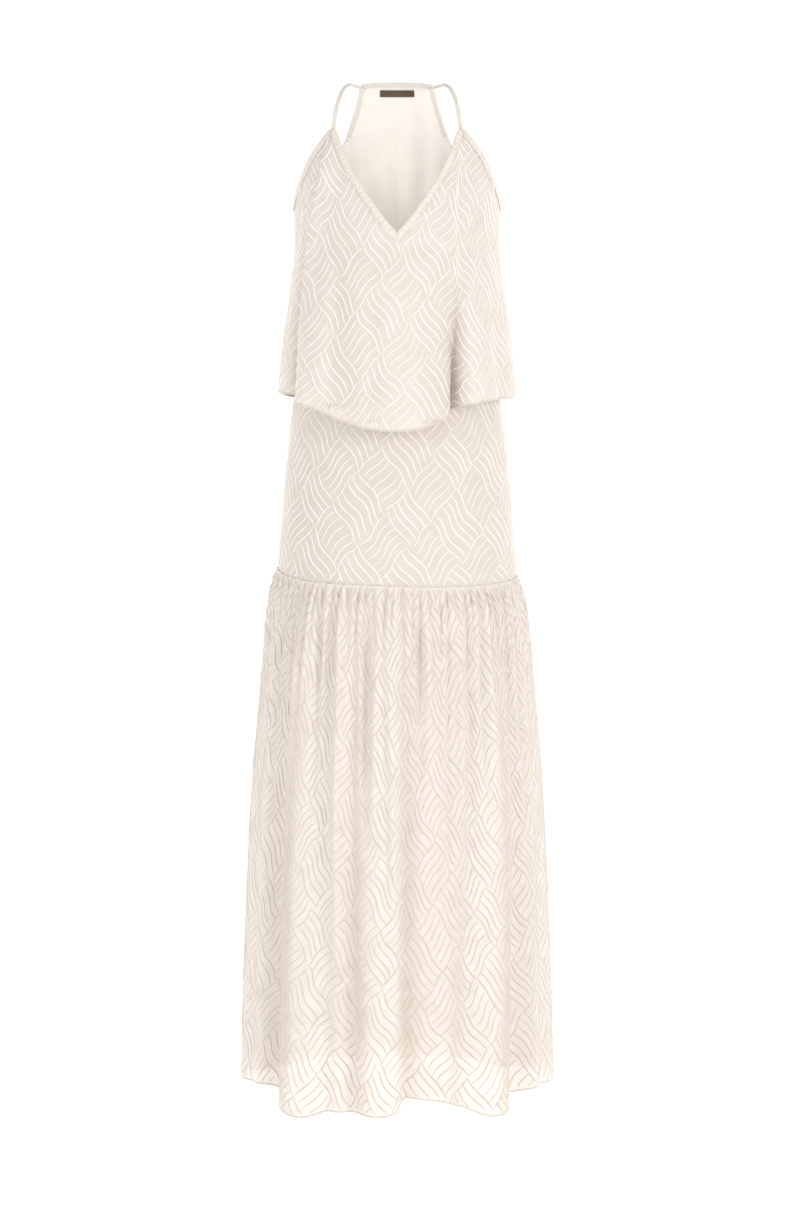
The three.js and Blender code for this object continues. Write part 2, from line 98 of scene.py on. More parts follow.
# %% Sections and edges
BODY = {
    "z": [12, -60, -100, -132, -160, -200, -225, -260, -300, -350, -400, -435, -519, -575, -631, -690],
    "half": [124, 148, 148.5, 145, 141.5, 139.8, 139.6, 138.5, 135, 133, 136.5, 143.5, 153.5, 158.5, 163.5,
             168],
    "front": [38, 78, 96, 106, 113, 120, 121.5, 121, 111, 98, 95, 98, 105, 111, 115, 118],
    "back": [57, 82, 95, 101, 105, 106, 105.5, 103, 98, 90, 89, 93, 107, 117, 124, 127],
}
POPOVER = {
    "z": [-225, -260, -297, -353, -407, -470],
    "half": [141.4, 145, 150, 158.5, 164, 169],
    "front": [123.3, 130, 134, 137, 139, 141],
    "back": [107.3, 112, 116, 119, 122, 126],
}
SKIRT = {
    "z": [-670, -715, -771, -856, -969, -1083, -1198, -1312, -1430],
    "half": [168, 176.5, 184, 193, 203.5, 210.5, 215.5, 219.5, 222.5],
    "front": [118, 126, 134, 145, 157, 166, 173, 178, 182],
    "back": [127, 136, 145, 155, 166, 174, 181, 186, 190],
}
TOP_EDGE = {
    "column": [0, 3, 6, 8, 10, 12, 14, 16, 18, 20, 22, 24, 26, 28, 30, 32, 34, 36, 38, 40],
    "angle": [0, 8, 18.5, 24.5, 30, 36, 46, 58, 73, 90, 107, 122, 135, 144, 149, 153, 156, 157.5, 168.5,
              180],
    "z": [-208, -185, -148, -123, -92, -66, -87, -117, -147, -168, -166, -151, -129, -104, -84, -61, -32, 0,
          3.4, 4],
}
POPOVER_HEM = {
    "angle": [-180, -130, -90, -65, -57, -43, -26, -12, 0, 11, 20, 28, 34, 48, 72, 90, 130, 180],
    "z": [-448, -440, -425, -427, -435, -444, -461.5, -472, -474, -470, -461.5, -455, -441, -434, -432, -426,
          -440, -448],
}
HIP_SEAM = {
    "angle": [-180, -90, -66, -44, -10, 24, 50, 90, 180],
    "z": [-688, -669, -677, -682, -685, -687.5, -686.5, -681, -688],
}
SKIRT_HEM = {
    "angle": [-180, -130, -80, -60, -52, -45, -36, -25, -7, -1, 3, 14, 25, 36, 43, 48, 62, 90, 130, 180],
    "z": [-1410, -1402, -1389, -1386, -1398, -1412, -1416, -1405, -1407, -1404, -1385, -1388, -1400, -1414,
          -1412, -1394, -1390, -1395, -1404, -1410],
}
SLIP_HEM = {
    "angle": [-180, -120, -90, -47, -31, -18, -12, -6, -3, 7, 11, 23, 28, 42, 65, 90, 125, 180],
    "z": [-1334, -1350, -1378, -1352, -1322, -1296, -1308, -1301, -1316, -1317, -1298, -1304, -1330, -1350,
          -1362, -1378, -1350, -1334],
}
COLUMN_ANGLE = 4.5  # the bodice's columns are this far apart once they have fanned out
STRAP_COLUMN, SIDE_COLUMN, NAPE_COLUMN, BACK_COLUMN = 12, 20, 36, 40
FAN_DROP = 150  # below the top edge, until the columns are evenly spaced
WAIST_Z = -400
FREE_Z = -225  # below this height the popover hangs free of the bust
LAYER_STEP = 2  # from the under-bodice's outer face to the popover's
HALVES = (("front", -90), ("back", 90))  # each half's first angle; it runs round for 180 degrees


def edge_height(table):
    """A function that gives the edge's height at an angle."""
    return lambda angle: read(table, "angle", "z", wrap(angle))


def waist(angle):
    return np.full_like(angle, WAIST_Z)


popover_hem, hip_seam = edge_height(POPOVER_HEM), edge_height(HIP_SEAM)
skirt_hem, slip_hem = edge_height(SKIRT_HEM), edge_height(SLIP_HEM)
print("the widest section is", 2 * max(SKIRT["half"]), "mm across")

# %% [markdown]
# ## Folds and creases
# Cloth that hangs from a curve falls into folds which open towards its free edge. Simulated cloth would
# fold somewhere of its own choosing, so the folds are placed one by one: each is a soft trough or ridge
# across its line, with a width of its own on either side. A fold that starts at a seam grows down to the
# hem. A crease has a list of stops with its angle and depth at each, and dies out or meets an edge.

# %% Fold tables
# Rows: a fold's angle at its top and at the hem, the widths of its two sides in degrees, its depth.
POPOVER_FOLDS = [
    (27, 32, 9, 3.5, 18), (35, 41, 4, 9, -7), (-58, -62, 6, 6, 13), (-46, -49, 5, 9, -6),
    (-25, -24, 7, 8, 5), (2, 4, 9, 9, -4), (60, 62, 6, 7, 6), (110, 116, 7, 6, 11),
    (134, 138, 8, 8, -6), (156, 158, 6, 8, 10), (182, 181, 9, 9, -5), (-112, -117, 6, 7, 11),
    (-136, -140, 8, 7, -6), (-157, -160, 8, 6, 9),
]
SKIRT_FOLDS = [
    (-72, -70, 5, 5, 7), (-54, -55, 6, 5, 25), (-42, -40, 6, 7, -7), (-31, -27, 5, 4, 7),
    (-20, -17, 3.5, 4, 15), (-8, -6, 5, 4, -7), (4, 3.5, 3, 6, 15), (17, 14, 5, 4, 6),
    (34, 25, 5, 5, 12), (46, 38, 6, 5, -7), (58, 50, 4, 6, 20), (75, 70, 5, 5, 8),
    (104, 110, 5, 5, 14), (118, 124, 6, 6, -6), (131, 137, 5, 5, 19), (150, 153, 5, 5, 10),
    (163, 165, 5, 5, -6), (175, 177, 5, 5, 17), (-162, -164, 5, 5, 9), (-147, -150, 5, 5, -6),
    (-133, -138, 5, 5, 19), (-119, -124, 5, 5, -5), (-104, -110, 5, 5, 15),
]
HEIGHTS, ANGLES, DEPTHS, LEFT, RIGHT = range(5)  # the places in a crease's row


def folds(table, angle, share):
    """How far the folds push the cloth in: a bell of each fold's depth across its line, all added up."""
    total = np.zeros(np.broadcast(angle, share).shape)
    for top, hem, left, right, depth in table:
        off = wrap(angle - mix(top, hem, share))
        total += depth * np.exp(-((off / np.where(off < 0, left, right)) ** 2))
    return total


def creases(table, angle, z):
    """The same for creases: angle and depth follow the stops of each, which are given at heights."""
    total = np.zeros(np.broadcast(angle, z).shape)
    for crease in table:
        off = wrap(angle - read(crease, HEIGHTS, ANGLES, z))
        width = np.where(off < 0, crease[LEFT], crease[RIGHT])
        within = (z <= max(crease[HEIGHTS])) & (z >= min(crease[HEIGHTS]))
        total += np.where(within, read(crease, HEIGHTS, DEPTHS, z), 0) * np.exp(-((off / width) ** 2))
    return total


print(len(POPOVER_FOLDS), "folds in the popover and", len(SKIRT_FOLDS), "in the skirt")

# %% [markdown]
# ## The surfaces
# A surface here is a function: give it angles and heights, and it returns points. The under-bodice and the
# yoke lie on the body's sections. The popover is the same surface moved out by a layer, until it hangs
# free below the bust. The skirt leaves the hip seam at the yoke's width and flares, and the gathers stand
# out below its seam.

# %% Surface functions
GATHER_STEP = 4.2  # degrees from one gather to the next
GATHER_RISE, GATHER_LENGTH = 5.6, 230  # how far a gather stands out, and how far it runs down
FOLD_SHADE_TURN = 12  # degrees that the painted shade of a side fold is turned
FLARE_DROP = 30  # from the seam until the skirt has its own width
FOLD_GROWTH = 0.6  # a fold's depth grows as this power of its way to the hem
FULL_SHADE_DEPTH = 15  # a fold this deep gets the full painted shade
VALLEY_SHADE_SHARE = 0.4  # the share of the full painted shade that lies between two gathers
SLIP_SEAM_INSET, SLIP_INSET, SLIP_INSET_DROP = 2.2, 8, 70  # at the seam, and lower down after a drop

# Rows: the heights of a crease's stops, the angle and the depth at each, the widths of its two sides. The
# popover's creases run down from the strap points, with a few soft ones beside the bust.
POPOVER_CREASES = [
    ([-72, -110, -160, -235, -320, -400, -450], [-38.5, -42, -49, -56.5, -58.5, -57, -55.5],
     [0, -4, -7, -9, -9, -7, -6], 1.0, 7),
    ([-150, -200, -250, -330, -420], [-60, -65, -69, -71, -71], [0, -2, -2.5, -2, 0], 2.2, 2.2),
    ([-225, -260, -330, -400, -450], [-61, -62, -63, -63, -62], [0, 3, 5, 5, 4], 3.2, 2.6),
    ([-80, -130, -190, -260, -330, -400], [39.5, 40, 39.5, 38.5, 37, 36],
     [0, -2.2, -4, -5.5, -5, -3], 1.5, 7),
    ([-228, -262, -320, -390, -460], [34.5, 34.3, 33.6, 32.6, 31.6], [0, 2.5, 9, 13, 13], 2.6, 1.0),
    ([-95, -150, -215, -280], [47, 52, 57, 60], [0, -1.8, -2.2, 0], 2.4, 3.4),
    ([-225, -275, -340, -440], [-36, -34, -33, -33], [0, 3, 4.5, 3], 5, 7),
    ([-235, -300, -380, -460], [14, 14, 15, 16], [0, 3, 4.5, 3], 6, 6),
    ([-230, -300, -390, -460], [-13, -13, -12, -11], [0, 2, 3, 2], 4, 5),
    ([-150, -220, -300, -380], [101, 104, 106, 107], [0, -3, -3.5, 0], 2.2, 5),
    ([-150, -220, -300, -380], [-101, -103, -105, -106], [0, -3.4, -3, 0], 5, 2.2),
    ([-30, -110, -200, -300], [168, 167, 165, 163], [0, -2.2, -3.4, 0], 2.4, 4),
    ([-50, -140, -240, -330], [-166, -166, -163, -162], [0, -2.6, -3.2, 0], 4, 2.4),
]
# Soft folds of the skirt between its main ones.
SKIRT_CREASES = [
    ([-700, -780, -900, -1100], [-64, -63, -62, -60], [0, 7.2, 5.4, 0], 2, 2.2),
    ([-720, -800, -950, -1150], [-47, -47, -47, -46], [0, -7.2, -5.4, 0], 2.2, 1.9),
    ([-690, -760, -860, -1010], [-37, -36, -35, -34], [0, 6.3, 5.4, 0], 1.9, 1.9),
    ([-700, -800, -980, -1240], [-25, -24.5, -24, -22], [0, -6.3, -7.2, 0], 1.9, 2.2),
    ([-690, -770, -900, -1050], [-13, -13, -12.5, -12], [0, 6.3, 7.2, 0], 1.9, 1.9),
    ([-700, -830, -1000, -1200], [-2.5, -2, -1.5, -1], [0, -5.4, -8.1, 0], 1.7, 2),
    ([-700, -780, -880, -1000], [10.5, 10, 9.5, 9], [0, 7.2, 5.4, 0], 1.8, 1.8),
    ([-700, -820, -1000, -1250], [23, 22, 21, 19.5], [0, 5.4, 7.2, 0], 1.9, 2.2),
    ([-700, -790, -930, -1120], [29, 28, 27, 26], [0, -7.2, -5.4, 0], 1.8, 1.8),
    ([-710, -800, -920, -1060], [40, 39, 38, 37], [0, 7.2, 5.4, 0], 1.9, 2.2),
    ([-700, -830, -1020, -1260], [52, 50, 48, 45], [0, -7.2, -8.1, 0], 2.2, 1.7),
    ([-690, -800, -1000, -1200, -1400], [54, 52, 49, 46.5, 44.5], [0, 4, 5, 4, 0], 2.2, 1.2),
    ([-700, -790, -950, -1180], [67, 66, 64, 62], [0, 7.2, 5.4, 0], 2.2, 2.2),
    ([-700, -800, -960, -1180], [112, 113, 114, 116], [0, 6.3, 5.4, 0], 2, 2.2),
    ([-700, -820, -1000, -1220], [125, 126, 129, 131], [0, -7.2, -5.4, 0], 2, 2.2),
    ([-700, -790, -920, -1080], [142, 143, 144, 145], [0, 7.2, 6.3, 0], 2, 2),
    ([-700, -820, -990, -1260], [157, 158, 158, 159], [0, -6.3, -7.2, 0], 2.2, 2),
    ([-700, -780, -900, -1060], [169, 169.5, 170, 171], [0, 7.2, 5.4, 0], 1.8, 1.8),
    ([-700, -800, -960, -1160], [-176, -176, -175, -174], [0, -7.2, -5.4, 0], 1.8, 2.2),
    ([-700, -790, -940, -1120], [-169, -169, -170, -170], [0, 6.3, 7.2, 0], 2, 2),
    ([-700, -820, -1000, -1240], [-155, -156, -157, -157], [0, -7.2, -6.3, 0], 2.2, 1.8),
    ([-700, -780, -900, -1060], [-140, -141, -143, -144], [0, 7.2, 5.4, 0], 2, 2),
    ([-700, -820, -990, -1200], [-126, -127, -130, -131], [0, -7.2, -5.4, 0], 2, 2.2),
    ([-700, -790, -930, -1120], [-111, -112, -114, -116], [0, 6.3, 5.4, 0], 2.2, 2),
]
# The plain back lining, seen through the neck, hangs in soft upright waves. Positive depths go inwards.
LINING_CREASES = [
    ([-14, -60, -120, -200, -260], [180, 180, 180, 180, 180], [0, 3.2, 5.2, 3.2, 0], 5, 5),
    ([-16, -60, -130, -210, -270], [165, 164, 164, 165, 166], [0, 4, 6, 3.2, 0], 5.5, 6),
    ([-16, -70, -130, -210, -270], [-166, -165, -165, -166, -167], [0, 3.2, 5.6, 4, 0], 6, 5),
    ([-60, -110, -170, -250], [150, 150, 151, 153], [0, 4, 3.2, 0], 5, 5.5),
    ([-60, -110, -180, -250], [-151, -151, -152, -154], [0, 3.2, 4, 0], 5.5, 5),
]


def section(table, angle, z, inset=0.0):
    """Half width times the sine across, depth times the cosine forward, both less the inset."""
    a = np.radians(angle)
    depth = np.where(np.cos(a) >= 0, read(table, "z", "front", z), read(table, "z", "back", z)) - inset
    half = read(table, "z", "half", z) - inset
    return np.stack(np.broadcast_arrays(half * np.sin(a), -depth * np.cos(a), z), axis=-1)


def normals_of(surface, angle, z):
    """Down the surface crossed with round it."""
    round_it = surface(angle + 0.25, z) - surface(angle - 0.25, z)
    down = surface(angle, z - 0.5) - surface(angle, z + 0.5)
    out = np.cross(down, round_it)
    return out / np.linalg.norm(out, axis=-1, keepdims=True)


def raised(surface, angle, z, lift):
    """The surface's points, moved out along its normals."""
    return surface(angle, z) + np.asarray(lift)[..., None] * normals_of(surface, angle, z)


def body(angle, z):
    return section(BODY, angle, z)


def under_bodice(angle, z):
    """The body's sections with the lining's soft waves, which fade out towards the top edge."""
    return section(BODY, angle, z, creases(LINING_CREASES, angle, z))


def popover_inset(angle, z):
    """The popover's folds, which grow from where it hangs free, and its creases."""
    share = np.clip((FREE_Z - z) / (FREE_Z - popover_hem(angle)), 0, 1)
    return share * folds(POPOVER_FOLDS, angle, share) + creases(POPOVER_CREASES, angle, z)


def popover(angle, z):
    """Above the bust, the body moved out by a layer. Below it, its own sections, less its folds."""
    free = section(POPOVER, angle, z, popover_inset(angle, z))
    held = raised(body, angle, z, LAYER_STEP + 0 * z) + (free - section(POPOVER, angle, z))
    return np.where((z > FREE_Z)[..., None], held, free)


def gathers(angle, drop):
    """Round crests with sharp valleys between them, uneven in height, each gone at its own length."""
    place = (angle + 90) / GATHER_STEP
    height = GATHER_RISE * (0.75 + 0.25 * np.sin(3.4 * place))
    length = GATHER_LENGTH * (1.05 + 0.45 * np.sin(4.6 * place + 1))
    wander = 0.16 * np.sin(drop / 38 + 2.1 * place)
    crest = np.abs(np.sin(math.pi * (place + wander))) ** 1.1
    fine = 0.7 * np.sin(math.pi * 2.7 * place + 0.8) ** 2 * np.clip(1 - drop / 55, 0, 1) ** 1.5
    held = 0.35 + 0.65 * smooth(drop / 14)
    return held * (height * crest * np.clip(1 - drop / length, 0, 1) ** 1.4 + fine)


def skirt_inset(angle, z, turned=0.0):
    """The skirt's folds, which grow from the seam, and its creases, read `turned` degrees further on."""
    share = np.clip((hip_seam(angle) - z) / (hip_seam(angle) - skirt_hem(angle)), 0, 1)
    line = angle + turned
    return share**FOLD_GROWTH * folds(SKIRT_FOLDS, line, share) + creases(SKIRT_CREASES, line, z)


def skirt_form(angle, z, inset):
    """The yoke's width at the seam, mixed over a short drop into the skirt's sections less its folds."""
    seam = hip_seam(angle)
    at_seam = section(BODY, angle, seam, inset)
    at_seam = np.concatenate([at_seam[..., :2], np.broadcast_to(z, seam.shape)[..., None]], axis=-1)
    below = section(SKIRT, angle, z, skirt_inset(angle, z) + inset)
    return mix(at_seam, below, np.clip((seam - z) / FLARE_DROP, 0, 1)[..., None])


def skirt(angle, z):
    return skirt_form(angle, z, -gathers(angle, np.maximum(hip_seam(angle) - z, 0)))


def skirt_fold_shade(angle, z):
    """Painted shade, from 0 on the open skirt to 1 in a fold or between two gathers. At the sides of the
    skirt the shade is read some degrees further on, so it is turned towards the middle."""
    fold = skirt_inset(angle, z, FOLD_SHADE_TURN * np.sin(np.radians(angle)))
    drop = np.maximum(hip_seam(angle) - z, 0)
    valley = np.clip(1 - gathers(angle, drop) / (0.7 * GATHER_RISE), 0, 1)
    between = np.clip(1 - drop / GATHER_LENGTH, 0, 1) * valley
    return np.clip(fold / FULL_SHADE_DEPTH + VALLEY_SHADE_SHARE * between, 0, 1)


def popover_fold_shade(angle, z):
    """The same painted shade, in the popover's folds."""
    return np.clip(popover_inset(angle, z) / FULL_SHADE_DEPTH, 0, 1)


def slip(angle, z):
    """The skirt's own form, further in; above the seam it lies close inside the yoke."""
    seam = hip_seam(angle)
    inset = mix(SLIP_SEAM_INSET, SLIP_INSET, np.clip((seam - z) / SLIP_INSET_DROP, 0, 1))
    return np.where((z > seam)[..., None], section(BODY, angle, z, inset), skirt_form(angle, z, inset))


print("front of the skirt at mid height:", skirt(np.array([0.0]), np.array([-1000.0])).round(1).tolist())

# %% [markdown]
# ## From points to meshes
# Every panel is a closed thin wall: an outer sheet of points, the same sheet moved in by the cloth's
# thickness, and rims between them. Trims, stitches and raised lines are tubes: a profile carried along a
# path. Two helpers turn such arrays into meshes, each with a UV map in metres of cloth so that a weave
# keeps its scale on every fold.


# %% Mesh helpers
def add_object(name, data):
    thing = bpy.data.objects.new(name, data)
    bpy.context.scene.collection.objects.link(thing)
    return thing


def run_along(path):
    """How far along a path each of its points lies."""
    return np.concatenate([[0], np.cumsum(np.linalg.norm(np.diff(path, axis=0), axis=-1))])


def make_object(name, points, faces, uv):
    """A smooth mesh in metres, with its UV map. points and uv are in millimetres, row for row."""
    mesh = bpy.data.meshes.new(name)
    mesh.from_pydata((points.reshape(-1, 3) * MM).tolist(), [], faces)
    layer = mesh.uv_layers.new(name="cloth")
    corner = np.empty(len(mesh.loops), np.int32)
    mesh.loops.foreach_get("vertex_index", corner)
    layer.data.foreach_set("uv", (uv.reshape(-1, 2)[corner] * MM).ravel())
    mesh.shade_smooth()
    mesh.set_sharp_from_angle(angle=math.radians(70))
    return add_object(name, mesh)


def wall(name, outer, uv, thickness):
    """outer[column, row], with columns towards a greater angle and rows down, and a face inside it."""
    along, down = np.gradient(outer, axis=0), np.gradient(outer, axis=1)
    normal = np.cross(down, along)
    inner = outer - thickness * normal / np.linalg.norm(normal, axis=-1, keepdims=True)
    at = np.arange(outer.shape[0] * outer.shape[1]).reshape(outer.shape[:2])
    back = at + at.size
    quads = [
        np.stack([at[:-1, :-1], at[:-1, 1:], at[1:, 1:], at[1:, :-1]], -1).reshape(-1, 4),
        np.stack([back[:-1, :-1], back[1:, :-1], back[1:, 1:], back[:-1, 1:]], -1).reshape(-1, 4),
        np.stack([at[:-1, 0], at[1:, 0], back[1:, 0], back[:-1, 0]], -1),
        np.stack([at[1:, -1], at[:-1, -1], back[:-1, -1], back[1:, -1]], -1),
        np.stack([at[0, 1:], at[0, :-1], back[0, :-1], back[0, 1:]], -1),
        np.stack([at[-1, :-1], at[-1, 1:], back[-1, 1:], back[-1, :-1]], -1),
    ]
    points = np.concatenate([outer.reshape(-1, 3), inner.reshape(-1, 3)])
    return make_object(name, points, np.concatenate(quads).tolist(), np.concatenate([uv, uv]))


def strands(name, rings, uv):
    """Many tubes in one mesh: rings[strand, station, corner], closed round the corners, with caps."""
    at = np.arange(rings[..., 0].size).reshape(rings.shape[:3])
    beside = np.roll(at, -1, axis=2)
    quads = np.stack([at[:, :-1], beside[:, :-1], beside[:, 1:], at[:, 1:]], -1).reshape(-1, 4)
    flat = rings.reshape(-1, 3)
    a, b, c, d = (flat[quads[:, k]] - flat.mean(axis=0) for k in range(4))
    volume = (a * (np.cross(b, c) + np.cross(c, d))).sum()
    faces = quads.tolist() + at[:, 0, ::-1].tolist() + at[:, -1].tolist()
    if volume < 0:
        faces = [face[::-1] for face in faces]
    return make_object(name, rings, faces, uv)


def mark_fold_shade(piece, depth):
    """Keeps each point's painted shade, by how deep in a fold it lies, as an attribute its fabric reads."""
    layer = piece.data.attributes.new("painted_fold_shade", "FLOAT", "POINT")
    layer.data.foreach_set("value", np.concatenate([depth.ravel(), depth.ravel()]))


def unit(vectors):
    return vectors / np.maximum(np.linalg.norm(vectors, axis=-1, keepdims=True), 1e-9)


def place(piece, material, slot, *nodes):
    """Gives a piece its material and puts it on the one body, in place of its CAD nodes; slot is not used.
    """
    piece.data.materials.append(material)
    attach(piece, "root")
    if nodes:
        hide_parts(*nodes)
    print(piece.name, "has", sum(len(p.vertices) - 2 for p in piece.data.polygons), "triangles")
    return piece


# %% [markdown]
# ## Fabrics
# All the cloths here are cream, so what tells them apart is how they take light. Each finish is a
# Principled shader with a woven bump: two wave textures stand for warp and weft, and a cloudy noise gives
# the slight unevenness of colour and the crepe-like crinkle. Organza is sheer because air shows between
# its threads, which a constant alpha stands for: light passes it in the same way from every side.


# %% Fabric materials
FOLD_SHADE_TONE = (0.87, 0.845, 0.81)  # painted shade: what the colour in a full fold is multiplied by


def cloth_material(
    name, colour, shade, alpha=1.0, roughness=0.75, thread=0.7, weave=0.25, crinkle=0.3, painted_fold_shade=False
):
    """colour in the open, shade in the noise's hollows; thread is the width of one thread in millimetres.
    With fold shade, the colour is multiplied towards the fold tone where the mesh marks a fold: painted
    shade in the folds."""
    material = bpy.data.materials.new(name)
    material.use_nodes = True
    nodes, links = material.node_tree.nodes, material.node_tree.links
    shader = nodes["Principled BSDF"]
    shader.inputs["Alpha"].default_value = alpha
    shader.inputs["Sheen Weight"].default_value = 0.1
    shader.inputs["Specular IOR Level"].default_value = 0.25
    coordinates = nodes.new("ShaderNodeTexCoord")

    def texture(kind, scale, **settings):
        node = nodes.new(kind)
        node.inputs["Scale"].default_value = scale
        for key, value in settings.items():
            setattr(node, key, value)
        links.new(coordinates.outputs["UV"], node.inputs["Vector"])
        return node

    def bump(height, strength, distance):
        node = nodes.new("ShaderNodeBump")
        node.inputs["Strength"].default_value = strength
        node.inputs["Distance"].default_value = distance
        links.new(height, node.inputs["Height"])
        return node

    cloud = texture("ShaderNodeTexNoise", 45)
    cloud.inputs["Detail"].default_value = 6
    ramp = nodes.new("ShaderNodeValToRGB")
    ramp.color_ramp.elements[0].position = 0.3
    ramp.color_ramp.elements[0].color = (*shade, 1)
    ramp.color_ramp.elements[1].position = 0.62
    ramp.color_ramp.elements[1].color = (*colour, 1)
    links.new(cloud.outputs["Fac"], ramp.inputs["Fac"])
    tone = ramp.outputs["Color"]
    # Painted shade: the colour darkens where the mesh marks a fold.
    if painted_fold_shade:
        fold_shade_mark = nodes.new("ShaderNodeAttribute")
        fold_shade_mark.attribute_name = "painted_fold_shade"
        fold_shade_tint = nodes.new("ShaderNodeMix")
        fold_shade_tint.data_type, fold_shade_tint.blend_type = "RGBA", "MULTIPLY"
        fold_shade_tint.inputs[7].default_value = (*FOLD_SHADE_TONE, 1)
        links.new(fold_shade_mark.outputs["Fac"], fold_shade_tint.inputs[0])
        links.new(tone, fold_shade_tint.inputs[6])
        tone = fold_shade_tint.outputs[2]
    links.new(tone, shader.inputs["Base Color"])
    rough = nodes.new("ShaderNodeMapRange")
    rough.inputs["To Min"].default_value = roughness - 0.08
    rough.inputs["To Max"].default_value = roughness + 0.08
    links.new(cloud.outputs["Fac"], rough.inputs["Value"])
    links.new(rough.outputs["Result"], shader.inputs["Roughness"])
    period = math.tau / 20 / (thread * MM)  # a wave texture repeats every tau / 20 of its scale
    warp = texture("ShaderNodeTexWave", period, bands_direction="X")
    weft = texture("ShaderNodeTexWave", period, bands_direction="Y")
    both = nodes.new("ShaderNodeMath")
    both.operation = "MAXIMUM"
    links.new(warp.outputs["Fac"], both.inputs[0])
    links.new(weft.outputs["Fac"], both.inputs[1])
    threads = bump(both.outputs["Value"], weave, 0.15 * thread * MM)
    crepe = texture("ShaderNodeTexNoise", 420)
    crepe.inputs["Detail"].default_value = 4
    crinkles = bump(crepe.outputs["Fac"], crinkle, 0.3 * MM)
    links.new(threads.outputs["Normal"], crinkles.inputs["Normal"])
    links.new(crinkles.outputs["Normal"], shader.inputs["Normal"])
    return material


FINE = {"roughness": 0.6, "thread": 0.35, "crinkle": 0.12}
SMOOTH = {"roughness": 0.6, "thread": 0.4, "crinkle": 0.2}
ORGANZA = cloth_material("sheer_organza", (0.775, 0.71, 0.655), (0.725, 0.66, 0.60), alpha=0.7, painted_fold_shade=True)
POPOVER_ORGANZA = cloth_material(
    "popover_organza", (0.715, 0.655, 0.605), (0.69, 0.625, 0.57), alpha=0.62, crinkle=0.5, painted_fold_shade=True
)
LINED = cloth_material("organza_over_lining", (0.525, 0.472, 0.43), (0.505, 0.447, 0.40), crinkle=0.5)
LINING = cloth_material("plain_lining", (0.70, 0.655, 0.61), (0.68, 0.63, 0.585), **FINE)
# The slip's lining is the plain lining's fabric in a much lighter copy: painted light, which makes up for
# the light that the organza over it keeps off.
LIT_SLIP_LINING = cloth_material("slip_lining_lit", (0.97, 0.925, 0.875), (0.95, 0.90, 0.845), painted_fold_shade=True, **FINE)
RIDGE = cloth_material("raised_line", (0.745, 0.70, 0.655), (0.72, 0.67, 0.62), **SMOOTH)
# The raised line again, in a darker copy for the sheer skirt's lines and the rolled hems: painted shade.
SHADED_RIDGE = cloth_material("raised_line_shaded", (0.52, 0.463, 0.407), (0.50, 0.443, 0.387), **SMOOTH)
BINDING = cloth_material("bias_binding", (0.60, 0.55, 0.50), (0.57, 0.515, 0.465), thread=0.5, crinkle=0.6)
THREAD = cloth_material(
    "sewing_thread", (0.74, 0.69, 0.64), (0.70, 0.645, 0.59), thread=0.2, weave=0.6, crinkle=0.1
)
LABEL = cloth_material(
    "label_satin", (0.085, 0.055, 0.033), (0.06, 0.038, 0.022),
    roughness=0.5, thread=0.6, weave=0.7, crinkle=0.1,
)
print(len(bpy.data.materials), "materials so far")

# %% [markdown]
# ## The bodice panels
# The bodice has two layers that share one top edge. Their columns of points start where the edge is, which
# is crowded at the neck, and fan out below it until they are evenly spaced. A plain grid of angles would
# leave a stepped edge; this one follows the neckline exactly.


# %% Bodice grids
def top_edge(column):
    """The top edge's angle and height at a column; columns run on round the back to the far side."""
    turned = wrap(np.asarray(column) * COLUMN_ANGLE) / COLUMN_ANGLE
    angle = read(TOP_EDGE, "column", "angle", np.abs(turned)) * np.sign(turned)
    z = read(TOP_EDGE, "column", "z", np.abs(turned))
    return angle + 360 * np.round((np.asarray(column) * COLUMN_ANGLE - angle) / 360), z


def bodice_places(start, end, columns, rows, bottom):
    """Angles and heights of a panel's grid, from the top edge down to bottom(angle)."""
    column = np.linspace(start, end, columns)[:, None]
    share = np.linspace(0, 1, rows)[None, :] ** 1.15
    edge_angle, edge_z = top_edge(column)
    even = column * COLUMN_ANGLE
    z = mix(edge_z, bottom(even), share)
    return mix(edge_angle, even, smooth((edge_z - z) / FAN_DROP)), z


CLOTH_WALL = 0.4  # the thickness of every panel
REFERENCE_Z = {"popover": -330, "lining": -200, "yoke": -540, "skirt": -1180}


class Cloth:
    """A flat cloth's coordinates on a surface: distance round it at a reference height, and height."""

    def __init__(self, surface, start, end, reference_z):
        self.surface = surface
        self.angles = np.linspace(start, end, 721)
        self.round = run_along(surface(self.angles, np.full(self.angles.shape, float(reference_z))))
        print("cloth width at", reference_z, "mm:", round(self.round[-1]), "mm")

    def uv(self, angle, z):
        return np.stack(np.broadcast_arrays(np.interp(angle, self.angles, self.round), z), axis=-1)

    def angle(self, u):
        return np.interp(u, self.round, self.angles)


cloths, panels = {}, {}
for side, start, columns in (("front", -SIDE_COLUMN, 200), ("back", SIDE_COLUMN, 180)):
    end = start + 2 * SIDE_COLUMN
    angle, z = bodice_places(start, end, columns, 84, popover_hem)
    cloth = Cloth(popover, start * COLUMN_ANGLE, end * COLUMN_ANGLE, REFERENCE_Z["popover"])
    cloths["popover_" + side] = cloth
    piece = wall(f"popover_{side}_cloth", popover(angle, z), cloth.uv(angle, z), CLOTH_WALL)
    # Painted shade in the popover's folds, kept on the mesh for its fabric.
    mark_fold_shade(piece, popover_fold_shade(angle, z))
    panels["popover_" + side] = place(piece, POPOVER_ORGANZA, "organza", "popover_" + side)

